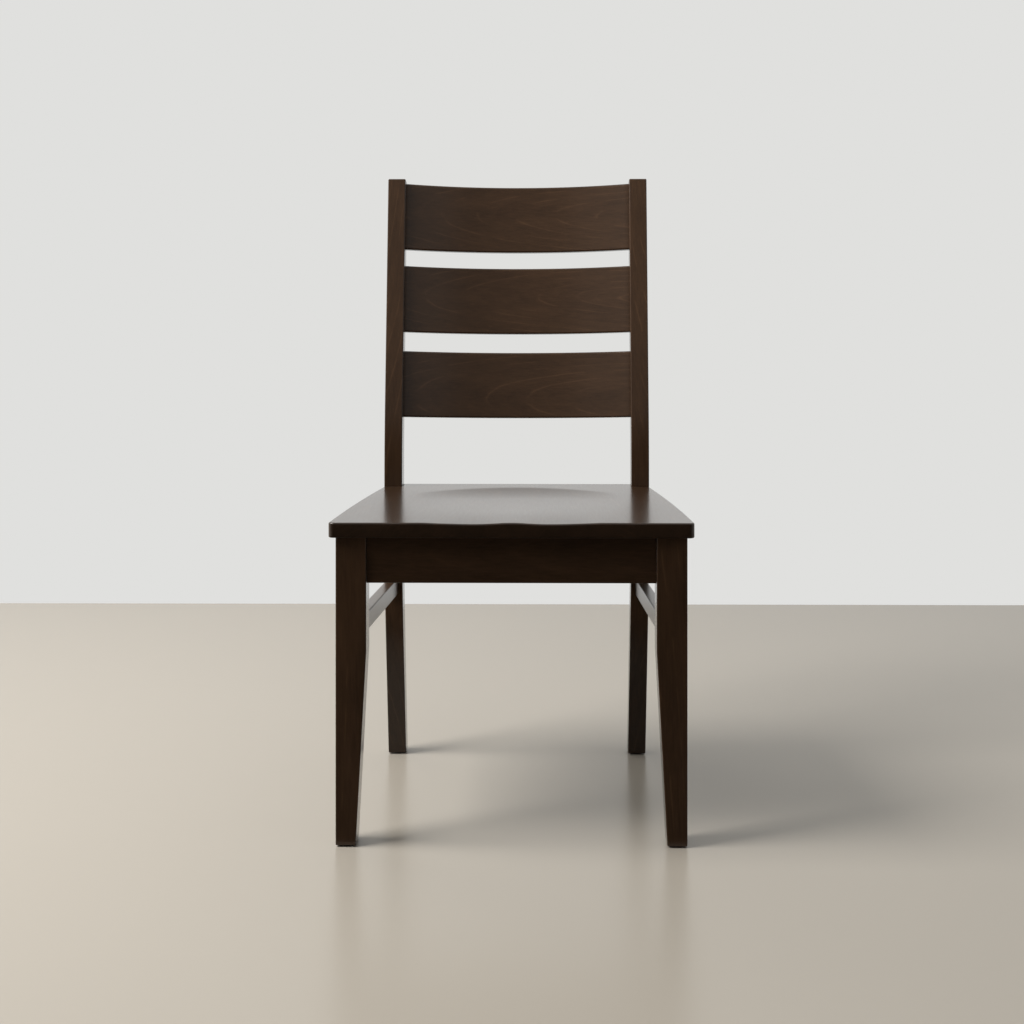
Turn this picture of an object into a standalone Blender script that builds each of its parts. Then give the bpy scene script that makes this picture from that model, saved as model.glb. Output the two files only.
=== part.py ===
"""A ladder-back dining chair in stained wood, as the joiner's separate pieces.

Metres, +Z up. The chair faces -Y and stands on its foot glides at Z = 0, with the origin under its middle.
While a piece is drawn, Y = 0 is the seat's front edge; one empty then carries every piece to its place.
"""

import math

import bmesh
import bpy
from mathutils import Vector

# Fits
GAP = 0.0003  # between two pieces that touch
HOLE_END = 0.0005  # left at the bottom of a dowel hole, screw hole or mortise

# Seat board
SEAT_HEIGHT = 0.459  # flat rim of the seat above the floor
SEAT_THICKNESS = 0.0215
SEAT_OVERHANG = 0.0098  # of the seat's sides past the front legs
SEAT_DEPTH = 0.423  # its back edge is flush with the back of the posts
SEAT_SIDE_BOW = 0.0035  # how far the middle of each side swells past a straight line
SEAT_CORNER_RADIUS = 0.008
SEAT_TOP_ROUND = 0.0025
SEAT_BOTTOM_ROUND = 0.002

# Hollow in the seat
SCOOP_DEPTH = 0.0068
SCOOP_FRONT_DEPTH = 0.0026  # where the hollow runs out through the front edge
SCOOP_FRONT_RUN = 0.060  # length from the front edge over which it keeps that depth
SCOOP_WIDTH = 0.330  # where it is deepest
SCOOP_SIDE_RADIUS = 1.050  # of its sides, which draw in towards the front and the back
SCOOP_BACK_EDGE = 0.374  # on the centre line, from the seat's front edge
SCOOP_BACK_RADIUS = 0.190  # of the hollow's curved back rim
SCOOP_DEEPEST = 0.292  # on the centre line, from the seat's front edge
POMMEL_HALF_WIDTH = 0.035  # of the ridge between the thighs
POMMEL_LENGTH = 0.160

# Front legs
LEG_SPAN = 0.497  # over the outer faces
LEG_WIDTH = 0.0435
LEG_DEPTH = 0.038
LEG_SETBACK = 0.007  # front faces behind the seat's front edge
LEG_FOOT_WIDTH = 0.0286
LEG_TAPER_HEIGHT = 0.276  # the inner face tapers below this
LEG_ROUND = 0.002

# Rear posts
POST_SPAN = 0.4446  # over the outer faces, at the seat
POST_WIDTH = 0.030
POST_DEPTH = 0.036  # at the seat
POST_TOP_DEPTH = 0.028
POST_FOOT_DEPTH = 0.030
POST_HEIGHT = 0.9805
POST_LEAN = math.radians(7.75)
POST_BEND_RISE = 0.070  # middle of the bend above the seat
POST_BEND_LENGTH = 0.120
POST_SPLAY = math.radians(6.7)
POST_SPLAY_HEIGHT = 0.258  # middle of the bend above the foot
POST_SPLAY_LENGTH = 0.120
POST_DRAW_IN = 0.004  # each foot stands this much nearer the middle than its post does at the apron
POST_ROUND = 0.002

# Aprons
APRON_HEIGHT = 0.065
APRON_THICKNESS = 0.020
APRON_ROUND = 0.0015
FRONT_APRON_RECESS = 0.004  # behind the legs' front faces
SIDE_APRON_RECESS = 0.005  # inside the legs' and the posts' outer faces
REAR_APRON_RECESS = 0.008  # behind the posts' front faces

# Side stretchers
STRETCHER_THICKNESS = 0.018
STRETCHER_HEIGHT = 0.026
STRETCHER_FRONT_TOP = 0.320  # upper edge above the floor
STRETCHER_REAR_TOP = 0.304
STRETCHER_FRONT_INSET = 0.005  # its inner face, outward of the leg's inner face
STRETCHER_REAR_INSET = 0.0065  # its inner face, outward of the post's inner face
STRETCHER_ROUND = 0.002
TENON_THICKNESS = 0.010
TENON_HEIGHT = 0.018
TENON_LENGTH = 0.018

# Back slats, measured along the leaning posts
SLAT_THICKNESS = 0.014
SLAT_TOP_BREADTH = 0.115
SLAT_MIDDLE_BREADTH = 0.114
SLAT_BOTTOM_BREADTH = 0.112
SLAT_TOP_DROP = 0.0067  # post top to the top slat
SLAT_UPPER_GAP = 0.0285
SLAT_LOWER_GAP = 0.0325
SLAT_BOW = 0.034  # the middle of a slat lies this far behind its ends
SLAT_SETBACK = 0.008  # ends of the slats behind the posts' front faces
SLAT_TENON = 0.015  # length let into each post
SLAT_ROUND = 0.003

# Dowels in the apron joints
DOWEL_DIAMETER = 0.008
DOWEL_LENGTH = 0.036
DOWEL_SPACING_ENDS = 0.042  # in the front and rear aprons
DOWEL_SPACING_SIDES = 0.020  # in the side aprons, clear of the others inside the posts

# Corner blocks
BLOCK_THICKNESS = 0.022
BLOCK_REACH = 0.045  # along each apron
BLOCK_TIP = 0.010

# Screws, all of one size
SCREW_LENGTH = 0.027  # under the head
SCREW_DIAMETER = 0.004
SCREW_HEAD_DIAMETER = 0.008
SCREW_HEAD_HEIGHT = 0.0028
SCREW_HEAD_RIM = 0.0008  # height of the head's upright edge, below its dome
SCREW_TIP = 0.005
SCREW_GRIP = 0.013  # of block under the head of an apron screw
SCREW_INSET = 0.012  # apron screws from the block's tips
SEAT_SCREW_BITE = 0.012  # of a seat screw in the seat
SEAT_SCREW_INSET = 0.013  # from the block's faces against the leg
HEAD_BORE = 0.040  # length of the bore that a head is driven down

# Foot glides
GLIDE_HEIGHT = 0.002  # the wood ends this far above the floor
GLIDE_DIAMETER = 0.020
GLIDE_EDGE = 0.0006
GLIDE_PIN_DIAMETER = 0.003
GLIDE_PIN_LENGTH = 0.012

# Fineness of curved surfaces
ROUND_SEGMENTS = 2
TURNED_STEPS = 16
BEND_RINGS = 6
SLAT_RINGS = 20
CORNER_POINTS = 5
DOME_POINTS = 4
SIDE_POINTS = 8
SCOOP_COLUMNS = 34
SCOOP_ROWS = 28
SCOOP_MARGIN = 0.010  # how far the hollow's cutter runs past the seat's front edge
CUTTER_CLEARANCE = 0.020  # a cutter's height above the surface that it cuts
SLOPE_STEP = 0.001  # half the height over which a post's slope is taken
MERGE_DISTANCE = 0.000001
FLAT_ANGLE = math.radians(0.1)  # faces and edges that turn less than this are one

# What follows from the sizes above
SEAT_FRONT_WIDTH = LEG_SPAN + 2 * SEAT_OVERHANG
SEAT_UNDERSIDE = SEAT_HEIGHT - SEAT_THICKNESS
POST_BEND_HEIGHT = SEAT_HEIGHT + POST_BEND_RISE
APRON_TOP = SEAT_UNDERSIDE - GAP
APRON_BOTTOM = APRON_TOP - APRON_HEIGHT
APRON_MIDDLE = APRON_TOP - APRON_HEIGHT / 2
LEG_OUTER = LEG_SPAN / 2
LEG_INNER = LEG_OUTER - LEG_WIDTH
LEG_BACK = LEG_SETBACK + LEG_DEPTH
POST_OUTER = POST_SPAN / 2
POST_INNER = POST_OUTER - POST_WIDTH
POST_FRONT = SEAT_DEPTH - POST_DEPTH
FRONT_APRON_FACE = LEG_SETBACK + FRONT_APRON_RECESS
FRONT_APRON_BACK = FRONT_APRON_FACE + APRON_THICKNESS
REAR_APRON_FACE = POST_FRONT + REAR_APRON_RECESS
LEAN_LENGTH = (POST_HEIGHT - POST_BEND_HEIGHT) / math.cos(POST_LEAN)
SIDE_NAMES = (("left", -1), ("right", 1))  # as seen by someone standing in front of the chair


def bend(distance, length):
    """How far past its middle a bend has gone: 0 before it, the distance after it, a smooth run between."""
    half = length / 2
    if distance <= -half:
        return 0.0
    if distance >= half:
        return distance
    return (distance + half) ** 2 / (2 * length)


def post_front(z):
    """Y of the posts' front faces at the height z."""
    lean = math.tan(POST_LEAN) * bend(z - POST_BEND_HEIGHT, POST_BEND_LENGTH)
    splay = math.tan(POST_SPLAY) * bend(POST_SPLAY_HEIGHT - z, POST_SPLAY_LENGTH)
    return POST_FRONT + lean + splay


def post_depth(z):
    """Depth of a post at the height z, square to its front face."""
    if z > SEAT_HEIGHT:
        share = (z - SEAT_HEIGHT) / (POST_HEIGHT - SEAT_HEIGHT)
        return POST_DEPTH + (POST_TOP_DEPTH - POST_DEPTH) * share
    share = max(0.0, (APRON_BOTTOM - z) / APRON_BOTTOM)
    return POST_DEPTH + (POST_FOOT_DEPTH - POST_DEPTH) * share


def post_draw(z):
    """How far a post has moved towards the middle at the height z."""
    return POST_DRAW_IN * max(0.0, (APRON_BOTTOM - z) / APRON_BOTTOM)


def side_apron_outer(y):
    """X of a side apron's outer face, which runs from the leg's outer face to the post's."""
    share = (y - LEG_BACK) / (POST_FRONT - LEG_BACK)
    return LEG_OUTER + (POST_OUTER - LEG_OUTER) * share - SIDE_APRON_RECESS


def side_apron_inner(y):
    return side_apron_outer(y) - APRON_THICKNESS


def on_the_lean(x, behind, along):
    """A point beside the leaning part of the posts: behind their front faces and along them from the bend."""
    y = POST_FRONT + along * math.sin(POST_LEAN) + behind * math.cos(POST_LEAN)
    z = POST_BEND_HEIGHT + along * math.cos(POST_LEAN) - behind * math.sin(POST_LEAN)
    return Vector((x, y, z))


def slat_back():
    """Y of the rearmost point of the chair: the rounded upper edge of the top slat, at its middle."""
    behind = SLAT_SETBACK + SLAT_BOW + SLAT_THICKNESS - SLAT_ROUND
    return on_the_lean(0, behind, LEAN_LENGTH - SLAT_TOP_DROP - SLAT_ROUND).y + SLAT_ROUND


OVERALL_DEPTH = max(slat_back(), on_the_lean(0, POST_TOP_DEPTH, LEAN_LENGTH).y)


def spread(first, last, count):
    """Numbers at even steps from first to last."""
    return [first + (last - first) * i / (count - 1) for i in range(count)]


def clear_scene():
    for old in list(bpy.data.objects):
        bpy.data.objects.remove(old)


def make_material(name, colour, roughness, metallic=0.0):
    material = bpy.data.materials.new(name)
    material.use_nodes = True
    shader = material.node_tree.nodes["Principled BSDF"]
    shader.inputs["Base Color"].default_value = (*colour, 1.0)
    shader.inputs["Roughness"].default_value = roughness
    shader.inputs["Metallic"].default_value = metallic
    material.diffuse_color = (*colour, 1.0)
    return material


clear_scene()
PARTS = bpy.data.collections.new("dining_chair")
CUTTERS = bpy.data.collections.new("cutters")
bpy.context.scene.collection.children.link(PARTS)
bpy.context.scene.collection.children.link(CUTTERS)

STAINED_WOOD = make_material("stained_wood", (0.040, 0.026, 0.017), 0.36)
PLAIN_WOOD = make_material("plain_wood", (0.52, 0.36, 0.21), 0.65)
ZINC_STEEL = make_material("zinc_steel", (0.62, 0.60, 0.55), 0.35, 1.0)
NYLON = make_material("nylon", (0.045, 0.035, 0.028), 0.5)

CHAIR = bpy.data.objects.new("chair_origin", None)
CHAIR.location = (0, -OVERALL_DEPTH / 2, 0)
PARTS.objects.link(CHAIR)


def place(name, mesh, material, location=(0, 0, 0), direction=None):
    """A piece at its place in the chair, its own Z turned to a direction where one is given."""
    piece = bpy.data.objects.new(name, mesh)
    piece.location = location
    if direction is not None:
        piece.rotation_euler = Vector(direction).to_track_quat("Z", "Y").to_euler()
    piece.parent = CHAIR
    if material is None:
        CUTTERS.objects.link(piece)
        piece.hide_render = True
        piece.display_type = "WIRE"
    else:
        PARTS.objects.link(piece)
        if not mesh.materials:
            mesh.materials.append(material)
    return piece


def cut(piece, cutter):
    """Takes the cutter's shape out of the piece."""
    boolean = piece.modifiers.new(cutter.name, "BOOLEAN")
    boolean.operation = "DIFFERENCE"
    boolean.solver = "EXACT"
    boolean.object = cutter


def round_edges(piece, radius):
    """Rounds the edges that carry a bevel weight, by that share of the radius, and closes up its corners."""
    bevel = piece.modifiers.new("rounded_edges", "BEVEL")
    bevel.limit_method = "WEIGHT"
    bevel.width = radius
    bevel.segments = ROUND_SEGMENTS
    weld = piece.modifiers.new("closed_corners", "WELD")
    weld.merge_threshold = MERGE_DISTANCE


def finish_mesh(name, bm):
    """Merges what meets, turns every face outwards and hands the mesh over."""
    bmesh.ops.remove_doubles(bm, verts=bm.verts, dist=MERGE_DISTANCE)
    bmesh.ops.recalc_face_normals(bm, faces=bm.faces)
    mesh = bpy.data.meshes.new(name)
    bm.to_mesh(mesh)
    bm.free()
    return mesh


def ringed_box(name, rings, corner, long_weight=None, end_weights=(0.0, 0.0)):
    """A box cut into rings of four corners, each corner moved to corner(ring, a, b), with a and b -1 or 1.

    long_weight(ring, a, b) weighs the long edge that starts at a ring; end_weights are for the two ends.
    """
    bm = bmesh.new()
    bmesh.ops.create_cube(bm, size=2.0)
    upright = [e for e in bm.edges if abs(e.verts[0].co.z - e.verts[1].co.z) > 1]
    if rings > 2:
        bmesh.ops.subdivide_edges(bm, edges=upright, cuts=rings - 2)
    weights = bm.edges.layers.float.new("bevel_weight_edge")
    places = {}
    for vert in bm.verts:
        ring = round((vert.co.z + 1) / 2 * (rings - 1))
        places[vert] = (ring, round(vert.co.x), round(vert.co.y))
    for edge in bm.edges:
        first, second = sorted((places[v] for v in edge.verts), key=lambda p: p[0])
        if first[0] != second[0]:
            edge[weights] = long_weight(*first) if long_weight else 0.0
        elif first[0] == 0:
            edge[weights] = end_weights[0]
        elif first[0] == rings - 1:
            edge[weights] = end_weights[1]
    for vert, spot in places.items():
        vert.co = corner(*spot)
    return finish_mesh(name, bm)


def slab(name, outline, thickness, weigh=None):
    """A flat outline filled and drawn out both ways along Z. weigh(middle) weighs an edge of its two faces."""
    curve = bpy.data.curves.new(name, "CURVE")
    curve.dimensions = "2D"
    curve.fill_mode = "BOTH"
    curve.extrude = thickness / 2
    spline = curve.splines.new("POLY")
    spline.points.add(len(outline) - 1)
    for point, (x, y) in zip(spline.points, outline):
        point.co = (x, y, 0, 1)
    spline.use_cyclic_u = True
    drawn = bpy.data.objects.new(name, curve)
    CUTTERS.objects.link(drawn)
    bpy.context.view_layer.update()
    filled = bpy.data.meshes.new_from_object(drawn.evaluated_get(bpy.context.evaluated_depsgraph_get()))
    bm = bmesh.new()
    bm.from_mesh(filled)
    bpy.data.meshes.remove(filled)
    bpy.data.objects.remove(drawn)
    bpy.data.curves.remove(curve)
    bmesh.ops.remove_doubles(bm, verts=bm.verts, dist=MERGE_DISTANCE)
    bmesh.ops.dissolve_limit(bm, angle_limit=FLAT_ANGLE, verts=bm.verts, edges=bm.edges)
    if weigh:
        weights = bm.edges.layers.float.new("bevel_weight_edge")
        for edge in bm.edges:
            if abs(edge.verts[0].co.z - edge.verts[1].co.z) < thickness / 2:
                edge[weights] = weigh((edge.verts[0].co + edge.verts[1].co) / 2)
    return finish_mesh(name, bm)


def turned(name, profile):
    """The profile's points (radius, height), top to bottom, turned about Z by a Screw modifier."""
    bm = bmesh.new()
    verts = [bm.verts.new((radius, 0, height)) for radius, height in profile]
    for upper, lower in zip(verts, verts[1:]):
        bm.edges.new((upper, lower))
    mesh = bpy.data.meshes.new(name)
    bm.to_mesh(mesh)
    bm.free()
    return mesh


def spin(piece):
    screw = piece.modifiers.new("turned", "SCREW")
    screw.axis = "Z"
    screw.steps = TURNED_STEPS
    screw.render_steps = TURNED_STEPS
    screw.use_merge_vertices = True
    screw.merge_threshold = MERGE_DISTANCE
    return piece


def seat_side(y):
    """X of the seat's side edge, from the rounded front corner to the post."""
    share = (y - SEAT_CORNER_RADIUS) / (POST_FRONT - SEAT_CORNER_RADIUS)
    straight = SEAT_FRONT_WIDTH / 2 + (POST_OUTER - SEAT_FRONT_WIDTH / 2) * share
    return straight + SEAT_SIDE_BOW * 4 * share * (1 - share)


def seat_outline():
    """Half of the plan from the front corner to the notch for the post, and then its mirror image."""
    radius = SEAT_CORNER_RADIUS
    half = []
    for angle in spread(-math.pi / 2, 0, CORNER_POINTS):
        half.append((SEAT_FRONT_WIDTH / 2 - radius + radius * math.cos(angle), radius + radius * math.sin(angle)))
    for y in spread(radius, POST_FRONT - GAP, SIDE_POINTS)[1:]:
        half.append((seat_side(y), y))
    half.append((POST_INNER - GAP, POST_FRONT - GAP))
    half.append((POST_INNER - GAP, SEAT_DEPTH))
    return half + [(-x, y) for x, y in reversed(half)]


def fade(share):
    """1 at the share 0 and 0 at the share 1, and as far below 0 past it as it was above 0 before it."""
    if share <= 1:
        return 1 - share**2
    return (2 - share) ** 2 - 1


def scoop_spot(across, along):
    """Where these shares of the hollow's half width and length lie. It narrows and shortens towards its corners."""
    half_width = SCOOP_WIDTH / 2 - (along * SCOOP_BACK_EDGE - SCOOP_DEEPEST) ** 2 / (2 * SCOOP_SIDE_RADIUS)
    x = across * half_width
    return x, along * (SCOOP_BACK_EDGE - x * x / (2 * SCOOP_BACK_RADIUS))


def scoop_depth(across, along):
    """Depth of the seat's hollow at these shares of its half width and its length, below 0 outside its rim."""
    deepest = SCOOP_DEEPEST / SCOOP_BACK_EDGE
    if along > deepest:
        lengthwise = fade((along - deepest) / (1 - deepest))
    else:
        run = SCOOP_FRONT_RUN / SCOOP_BACK_EDGE
        share = max(0.0, (along - run) / (deepest - run))
        front = SCOOP_FRONT_DEPTH / SCOOP_DEPTH
        lengthwise = front + (1 - front) * share * share * (3 - 2 * share)
    crosswise = fade(abs(across))
    x, y = scoop_spot(across, max(0.0, along))
    ridge = max(0.0, 1 - y / POMMEL_LENGTH) * math.exp(-((x / POMMEL_HALF_WIDTH) ** 2))
    depth = SCOOP_DEPTH * abs(lengthwise * crosswise) * (1 - ridge)
    return -depth if min(lengthwise, crosswise) < 0 else depth


def make_scoop_cutter():
    """A block whose underside is the hollow. The rim lies midway between its last two rows and columns."""
    bm = bmesh.new()
    bmesh.ops.create_grid(bm, x_segments=SCOOP_COLUMNS, y_segments=SCOOP_ROWS, size=1.0)
    front = -SCOOP_MARGIN / SCOOP_BACK_EDGE
    half_column = 1 / (SCOOP_COLUMNS - 1)
    half_row = (1 - front) / (2 * SCOOP_ROWS - 1)
    for vert in bm.verts:
        across = vert.co.x * (1 + half_column)
        along = front + (vert.co.y + 1) / 2 * (1 + half_row - front)
        vert.co = (*scoop_spot(across, along), SEAT_HEIGHT - scoop_depth(across, along))
    raised = bmesh.ops.extrude_face_region(bm, geom=bm.faces[:])["geom"]
    for vert in raised:
        if isinstance(vert, bmesh.types.BMVert):
            vert.co.z = SEAT_HEIGHT + CUTTER_CLEARANCE
    return place("seat_hollow", finish_mesh("seat_hollow", bm), None)


def make_seat():
    def weigh(middle):
        beside_post = middle.y > POST_FRONT - 2 * GAP and abs(middle.x) > POST_INNER - 2 * GAP
        if beside_post:
            return 0.0
        return 1.0 if middle.z > 0 else SEAT_BOTTOM_ROUND / SEAT_TOP_ROUND

    mesh = slab("seat", seat_outline(), SEAT_THICKNESS, weigh)
    seat = place("seat", mesh, STAINED_WOOD, (0, 0, SEAT_HEIGHT - SEAT_THICKNESS / 2))
    round_edges(seat, SEAT_TOP_ROUND)
    cut(seat, make_scoop_cutter())
    flat = seat.modifiers.new("straight_rim", "DECIMATE")
    flat.decimate_type = "DISSOLVE"
    flat.angle_limit = FLAT_ANGLE
    return seat


def make_front_leg(name, side):
    """Three rings: the foot, the start of the taper, and the square top."""
    heights = (GLIDE_HEIGHT, LEG_TAPER_HEIGHT, APRON_TOP)
    widths = (LEG_FOOT_WIDTH, LEG_WIDTH, LEG_WIDTH)

    def corner(ring, a, b):
        x = LEG_OUTER if a > 0 else LEG_OUTER - widths[ring]
        y = LEG_BACK if b > 0 else LEG_SETBACK
        return Vector((side * x, y, heights[ring]))

    mesh = ringed_box(name, len(heights), corner, lambda ring, a, b: 1.0, (1.0, 0.0))
    leg = place(name, mesh, STAINED_WOOD)
    round_edges(leg, LEG_ROUND)
    return leg


def post_heights():
    half_splay = POST_SPLAY_LENGTH / 2
    half_bend = POST_BEND_LENGTH / 2
    lower = spread(POST_SPLAY_HEIGHT - half_splay, POST_SPLAY_HEIGHT + half_splay, BEND_RINGS)
    upper = spread(POST_BEND_HEIGHT - half_bend, POST_BEND_HEIGHT + half_bend, BEND_RINGS)
    return sorted([GLIDE_HEIGHT, *lower, APRON_BOTTOM, *upper, POST_HEIGHT])


def make_rear_post(name, side):
    heights = post_heights()
    top = len(heights) - 1

    def corner(ring, a, b):
        z = heights[ring]
        x = (POST_OUTER if a > 0 else POST_INNER) - post_draw(z)
        if ring == top:
            spot = on_the_lean(x, POST_TOP_DEPTH if b > 0 else 0, LEAN_LENGTH)
            return Vector((side * x, spot.y, spot.z))
        slope = (post_front(z + SLOPE_STEP) - post_front(z - SLOPE_STEP)) / (2 * SLOPE_STEP)
        y = post_front(z) + (post_depth(z) * math.hypot(1, slope) if b > 0 else 0)
        return Vector((side * x, y, z))

    mesh = ringed_box(name, len(heights), corner, lambda ring, a, b: 1.0, (1.0, 1.0))
    post = place(name, mesh, STAINED_WOOD)
    round_edges(post, POST_ROUND)
    return post


def make_cross_apron(name, half_length, face):
    """A front or rear apron, square to Y, with its front face at Y = face."""

    def corner(ring, a, b):
        x = half_length if ring else -half_length
        return Vector((x, face + (APRON_THICKNESS if a > 0 else 0), APRON_TOP if b > 0 else APRON_BOTTOM))

    mesh = ringed_box(name, 2, corner, lambda ring, a, b: 1.0 if b < 0 else 0.0)
    apron = place(name, mesh, STAINED_WOOD)
    round_edges(apron, APRON_ROUND)
    return apron


def make_side_apron(name, side):
    def corner(ring, a, b):
        y = POST_FRONT - GAP if ring else LEG_BACK + GAP
        x = side_apron_outer(y) if a > 0 else side_apron_inner(y)
        return Vector((side * x, y, APRON_TOP if b > 0 else APRON_BOTTOM))

    mesh = ringed_box(name, 2, corner, lambda ring, a, b: 1.0 if b < 0 else 0.0)
    apron = place(name, mesh, STAINED_WOOD)
    round_edges(apron, APRON_ROUND)
    return apron


def stretcher_axis(y):
    """X and Z of the middle of a side stretcher at Y = y."""
    share = (y - LEG_BACK) / (POST_FRONT - LEG_BACK)
    front_x = LEG_INNER + STRETCHER_FRONT_INSET + STRETCHER_THICKNESS / 2
    rear_x = POST_INNER + STRETCHER_REAR_INSET + STRETCHER_THICKNESS / 2
    x = front_x + (rear_x - front_x) * share
    top = STRETCHER_FRONT_TOP + (STRETCHER_REAR_TOP - STRETCHER_FRONT_TOP) * share
    return x, top - STRETCHER_HEIGHT / 2


def stretcher_mesh(name, side, grow=0.0, tenons_only=None):
    """The bar with a tenon at each end. Grown, with one end named, it is that tenon's mortise."""
    front = LEG_BACK + GAP
    length = TENON_LENGTH + (HOLE_END if grow else 0)
    front_end = LEG_BACK - length
    rear_end = POST_FRONT + length
    rings = [(front_end, False), (front, False), (front, True), (None, True), (None, False), (rear_end, False)]
    if tenons_only == "front":
        rings = [(front_end, False), (front + CUTTER_CLEARANCE, False)]
    if tenons_only == "rear":
        rings = [(POST_FRONT - CUTTER_CLEARANCE, False), (rear_end, False)]

    def corner(ring, a, b):
        y, full = rings[ring]
        height = STRETCHER_HEIGHT if full else TENON_HEIGHT + 2 * grow
        thickness = STRETCHER_THICKNESS if full else TENON_THICKNESS + 2 * grow
        if y is None:
            z = stretcher_axis(POST_FRONT)[1] + b * height / 2
            y = post_front(z) - GAP
        x, z = stretcher_axis(y)
        return Vector((side * (x + a * thickness / 2), y, z + b * height / 2))

    def weigh(ring, a, b):
        return 1.0 if not tenons_only and rings[ring][1] and rings[ring + 1][1] else 0.0

    return ringed_box(name, len(rings), corner, weigh)


def make_stretcher(name, side, leg, post):
    stretcher = place(name, stretcher_mesh(name, side), STAINED_WOOD)
    round_edges(stretcher, STRETCHER_ROUND)
    for end, host in (("front", leg), ("rear", post)):
        mortise_name = f"mortise_{name}_{end}"
        mesh = stretcher_mesh(mortise_name, side, GAP, end)
        cut(host, place(mortise_name, mesh, None))
    return stretcher


def slat_mesh(name, low, high, grow=0.0):
    """A slat between two heights on the lean: an arc in plan, running straight inside the posts."""
    radius = (POST_INNER**2 + SLAT_BOW**2) / (2 * SLAT_BOW)
    housed = SLAT_THICKNESS * POST_INNER / radius / 2 + HOLE_END
    widest = math.asin((POST_INNER + housed) / radius)
    angles = [-widest, *spread(-widest, widest, SLAT_RINGS), widest]
    last = len(angles) - 1

    def corner(ring, a, b):
        angle = angles[ring]
        middle = SLAT_SETBACK + SLAT_THICKNESS / 2 + SLAT_BOW - radius * (1 - math.cos(angle))
        half = a * (SLAT_THICKNESS / 2 + grow)
        along = high + grow if b > 0 else low - grow
        if ring in (0, last):
            x = math.copysign(POST_INNER + SLAT_TENON + grow, angle)
            return on_the_lean(x, middle + half, along)
        return on_the_lean(radius * math.sin(angle) + half * math.sin(angle), middle + half * math.cos(angle), along)

    return ringed_box(name, len(angles), corner, lambda ring, a, b: 1.0)


def make_slat(name, low, high, posts):
    slat = place(name, slat_mesh(name, low, high), STAINED_WOOD)
    round_edges(slat, SLAT_ROUND)
    housing = place(f"housing_{name}", slat_mesh(f"housing_{name}", low, high, GAP), None)
    round_edges(housing, SLAT_ROUND + GAP)
    for post in posts:
        cut(post, housing)
    return slat


def make_slats(posts):
    high = LEAN_LENGTH - SLAT_TOP_DROP
    rows = (
        ("slat_top", SLAT_TOP_BREADTH, SLAT_UPPER_GAP),
        ("slat_middle", SLAT_MIDDLE_BREADTH, SLAT_LOWER_GAP),
        ("slat_bottom", SLAT_BOTTOM_BREADTH, 0.0),
    )
    for name, breadth, gap in rows:
        make_slat(name, high - breadth, high, posts)
        high -= breadth + gap


def cylinder(name, radius, length):
    bm = bmesh.new()
    bmesh.ops.create_cone(
        bm, cap_ends=True, segments=TURNED_STEPS, radius1=radius, radius2=radius, depth=length
    )
    return finish_mesh(name, bm)


def make_dowels(joint, centre, direction, spacing, pieces):
    """Two dowels across a joint, one above the other, and their holes."""
    for level, sign in (("lower", -1), ("upper", 1)):
        spot = Vector(centre) + Vector((0, 0, sign * spacing / 2))
        name = f"dowel_{joint}_{level}"
        place(name, cylinder(name, DOWEL_DIAMETER / 2, DOWEL_LENGTH), PLAIN_WOOD, spot, direction)
        hole_mesh = cylinder(f"hole_{name}", DOWEL_DIAMETER / 2 + GAP, DOWEL_LENGTH + 2 * HOLE_END)
        hole = place(f"hole_{name}", hole_mesh, None, spot, direction)
        for piece in pieces:
            cut(piece, hole)


def screw_profile(grow=0.0):
    """A round-headed screw with its head's seat at height 0. Grown, it is the hole and the head's bore."""
    shank = SCREW_DIAMETER / 2 + grow
    head = SCREW_HEAD_DIAMETER / 2 + grow
    tip = -SCREW_LENGTH - (HOLE_END if grow else 0)
    if grow:
        return [(0, HEAD_BORE), (head, HEAD_BORE), (head, -grow), (shank, -grow), (shank, tip), (0, tip)]
    profile = [(0, SCREW_HEAD_HEIGHT)]
    for angle in spread(math.pi / 2, 0, DOME_POINTS)[1:]:
        rise = (SCREW_HEAD_HEIGHT - SCREW_HEAD_RIM) * math.sin(angle)
        profile.append((head * math.cos(angle), SCREW_HEAD_RIM + rise))
    return profile + [(head, 0), (shank, 0), (shank, tip + SCREW_TIP), (0, tip)]


def make_screw(name, head_seat, direction, pieces):
    """A screw whose head faces the direction, with one hole through its pieces."""
    screw = place(name, turned(name, screw_profile()), ZINC_STEEL, head_seat, direction)
    spin(screw)
    hole = place(f"hole_{name}", turned(f"hole_{name}", screw_profile(GAP)), None, head_seat, direction)
    spin(hole)
    for piece in pieces:
        cut(piece, hole)


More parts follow.
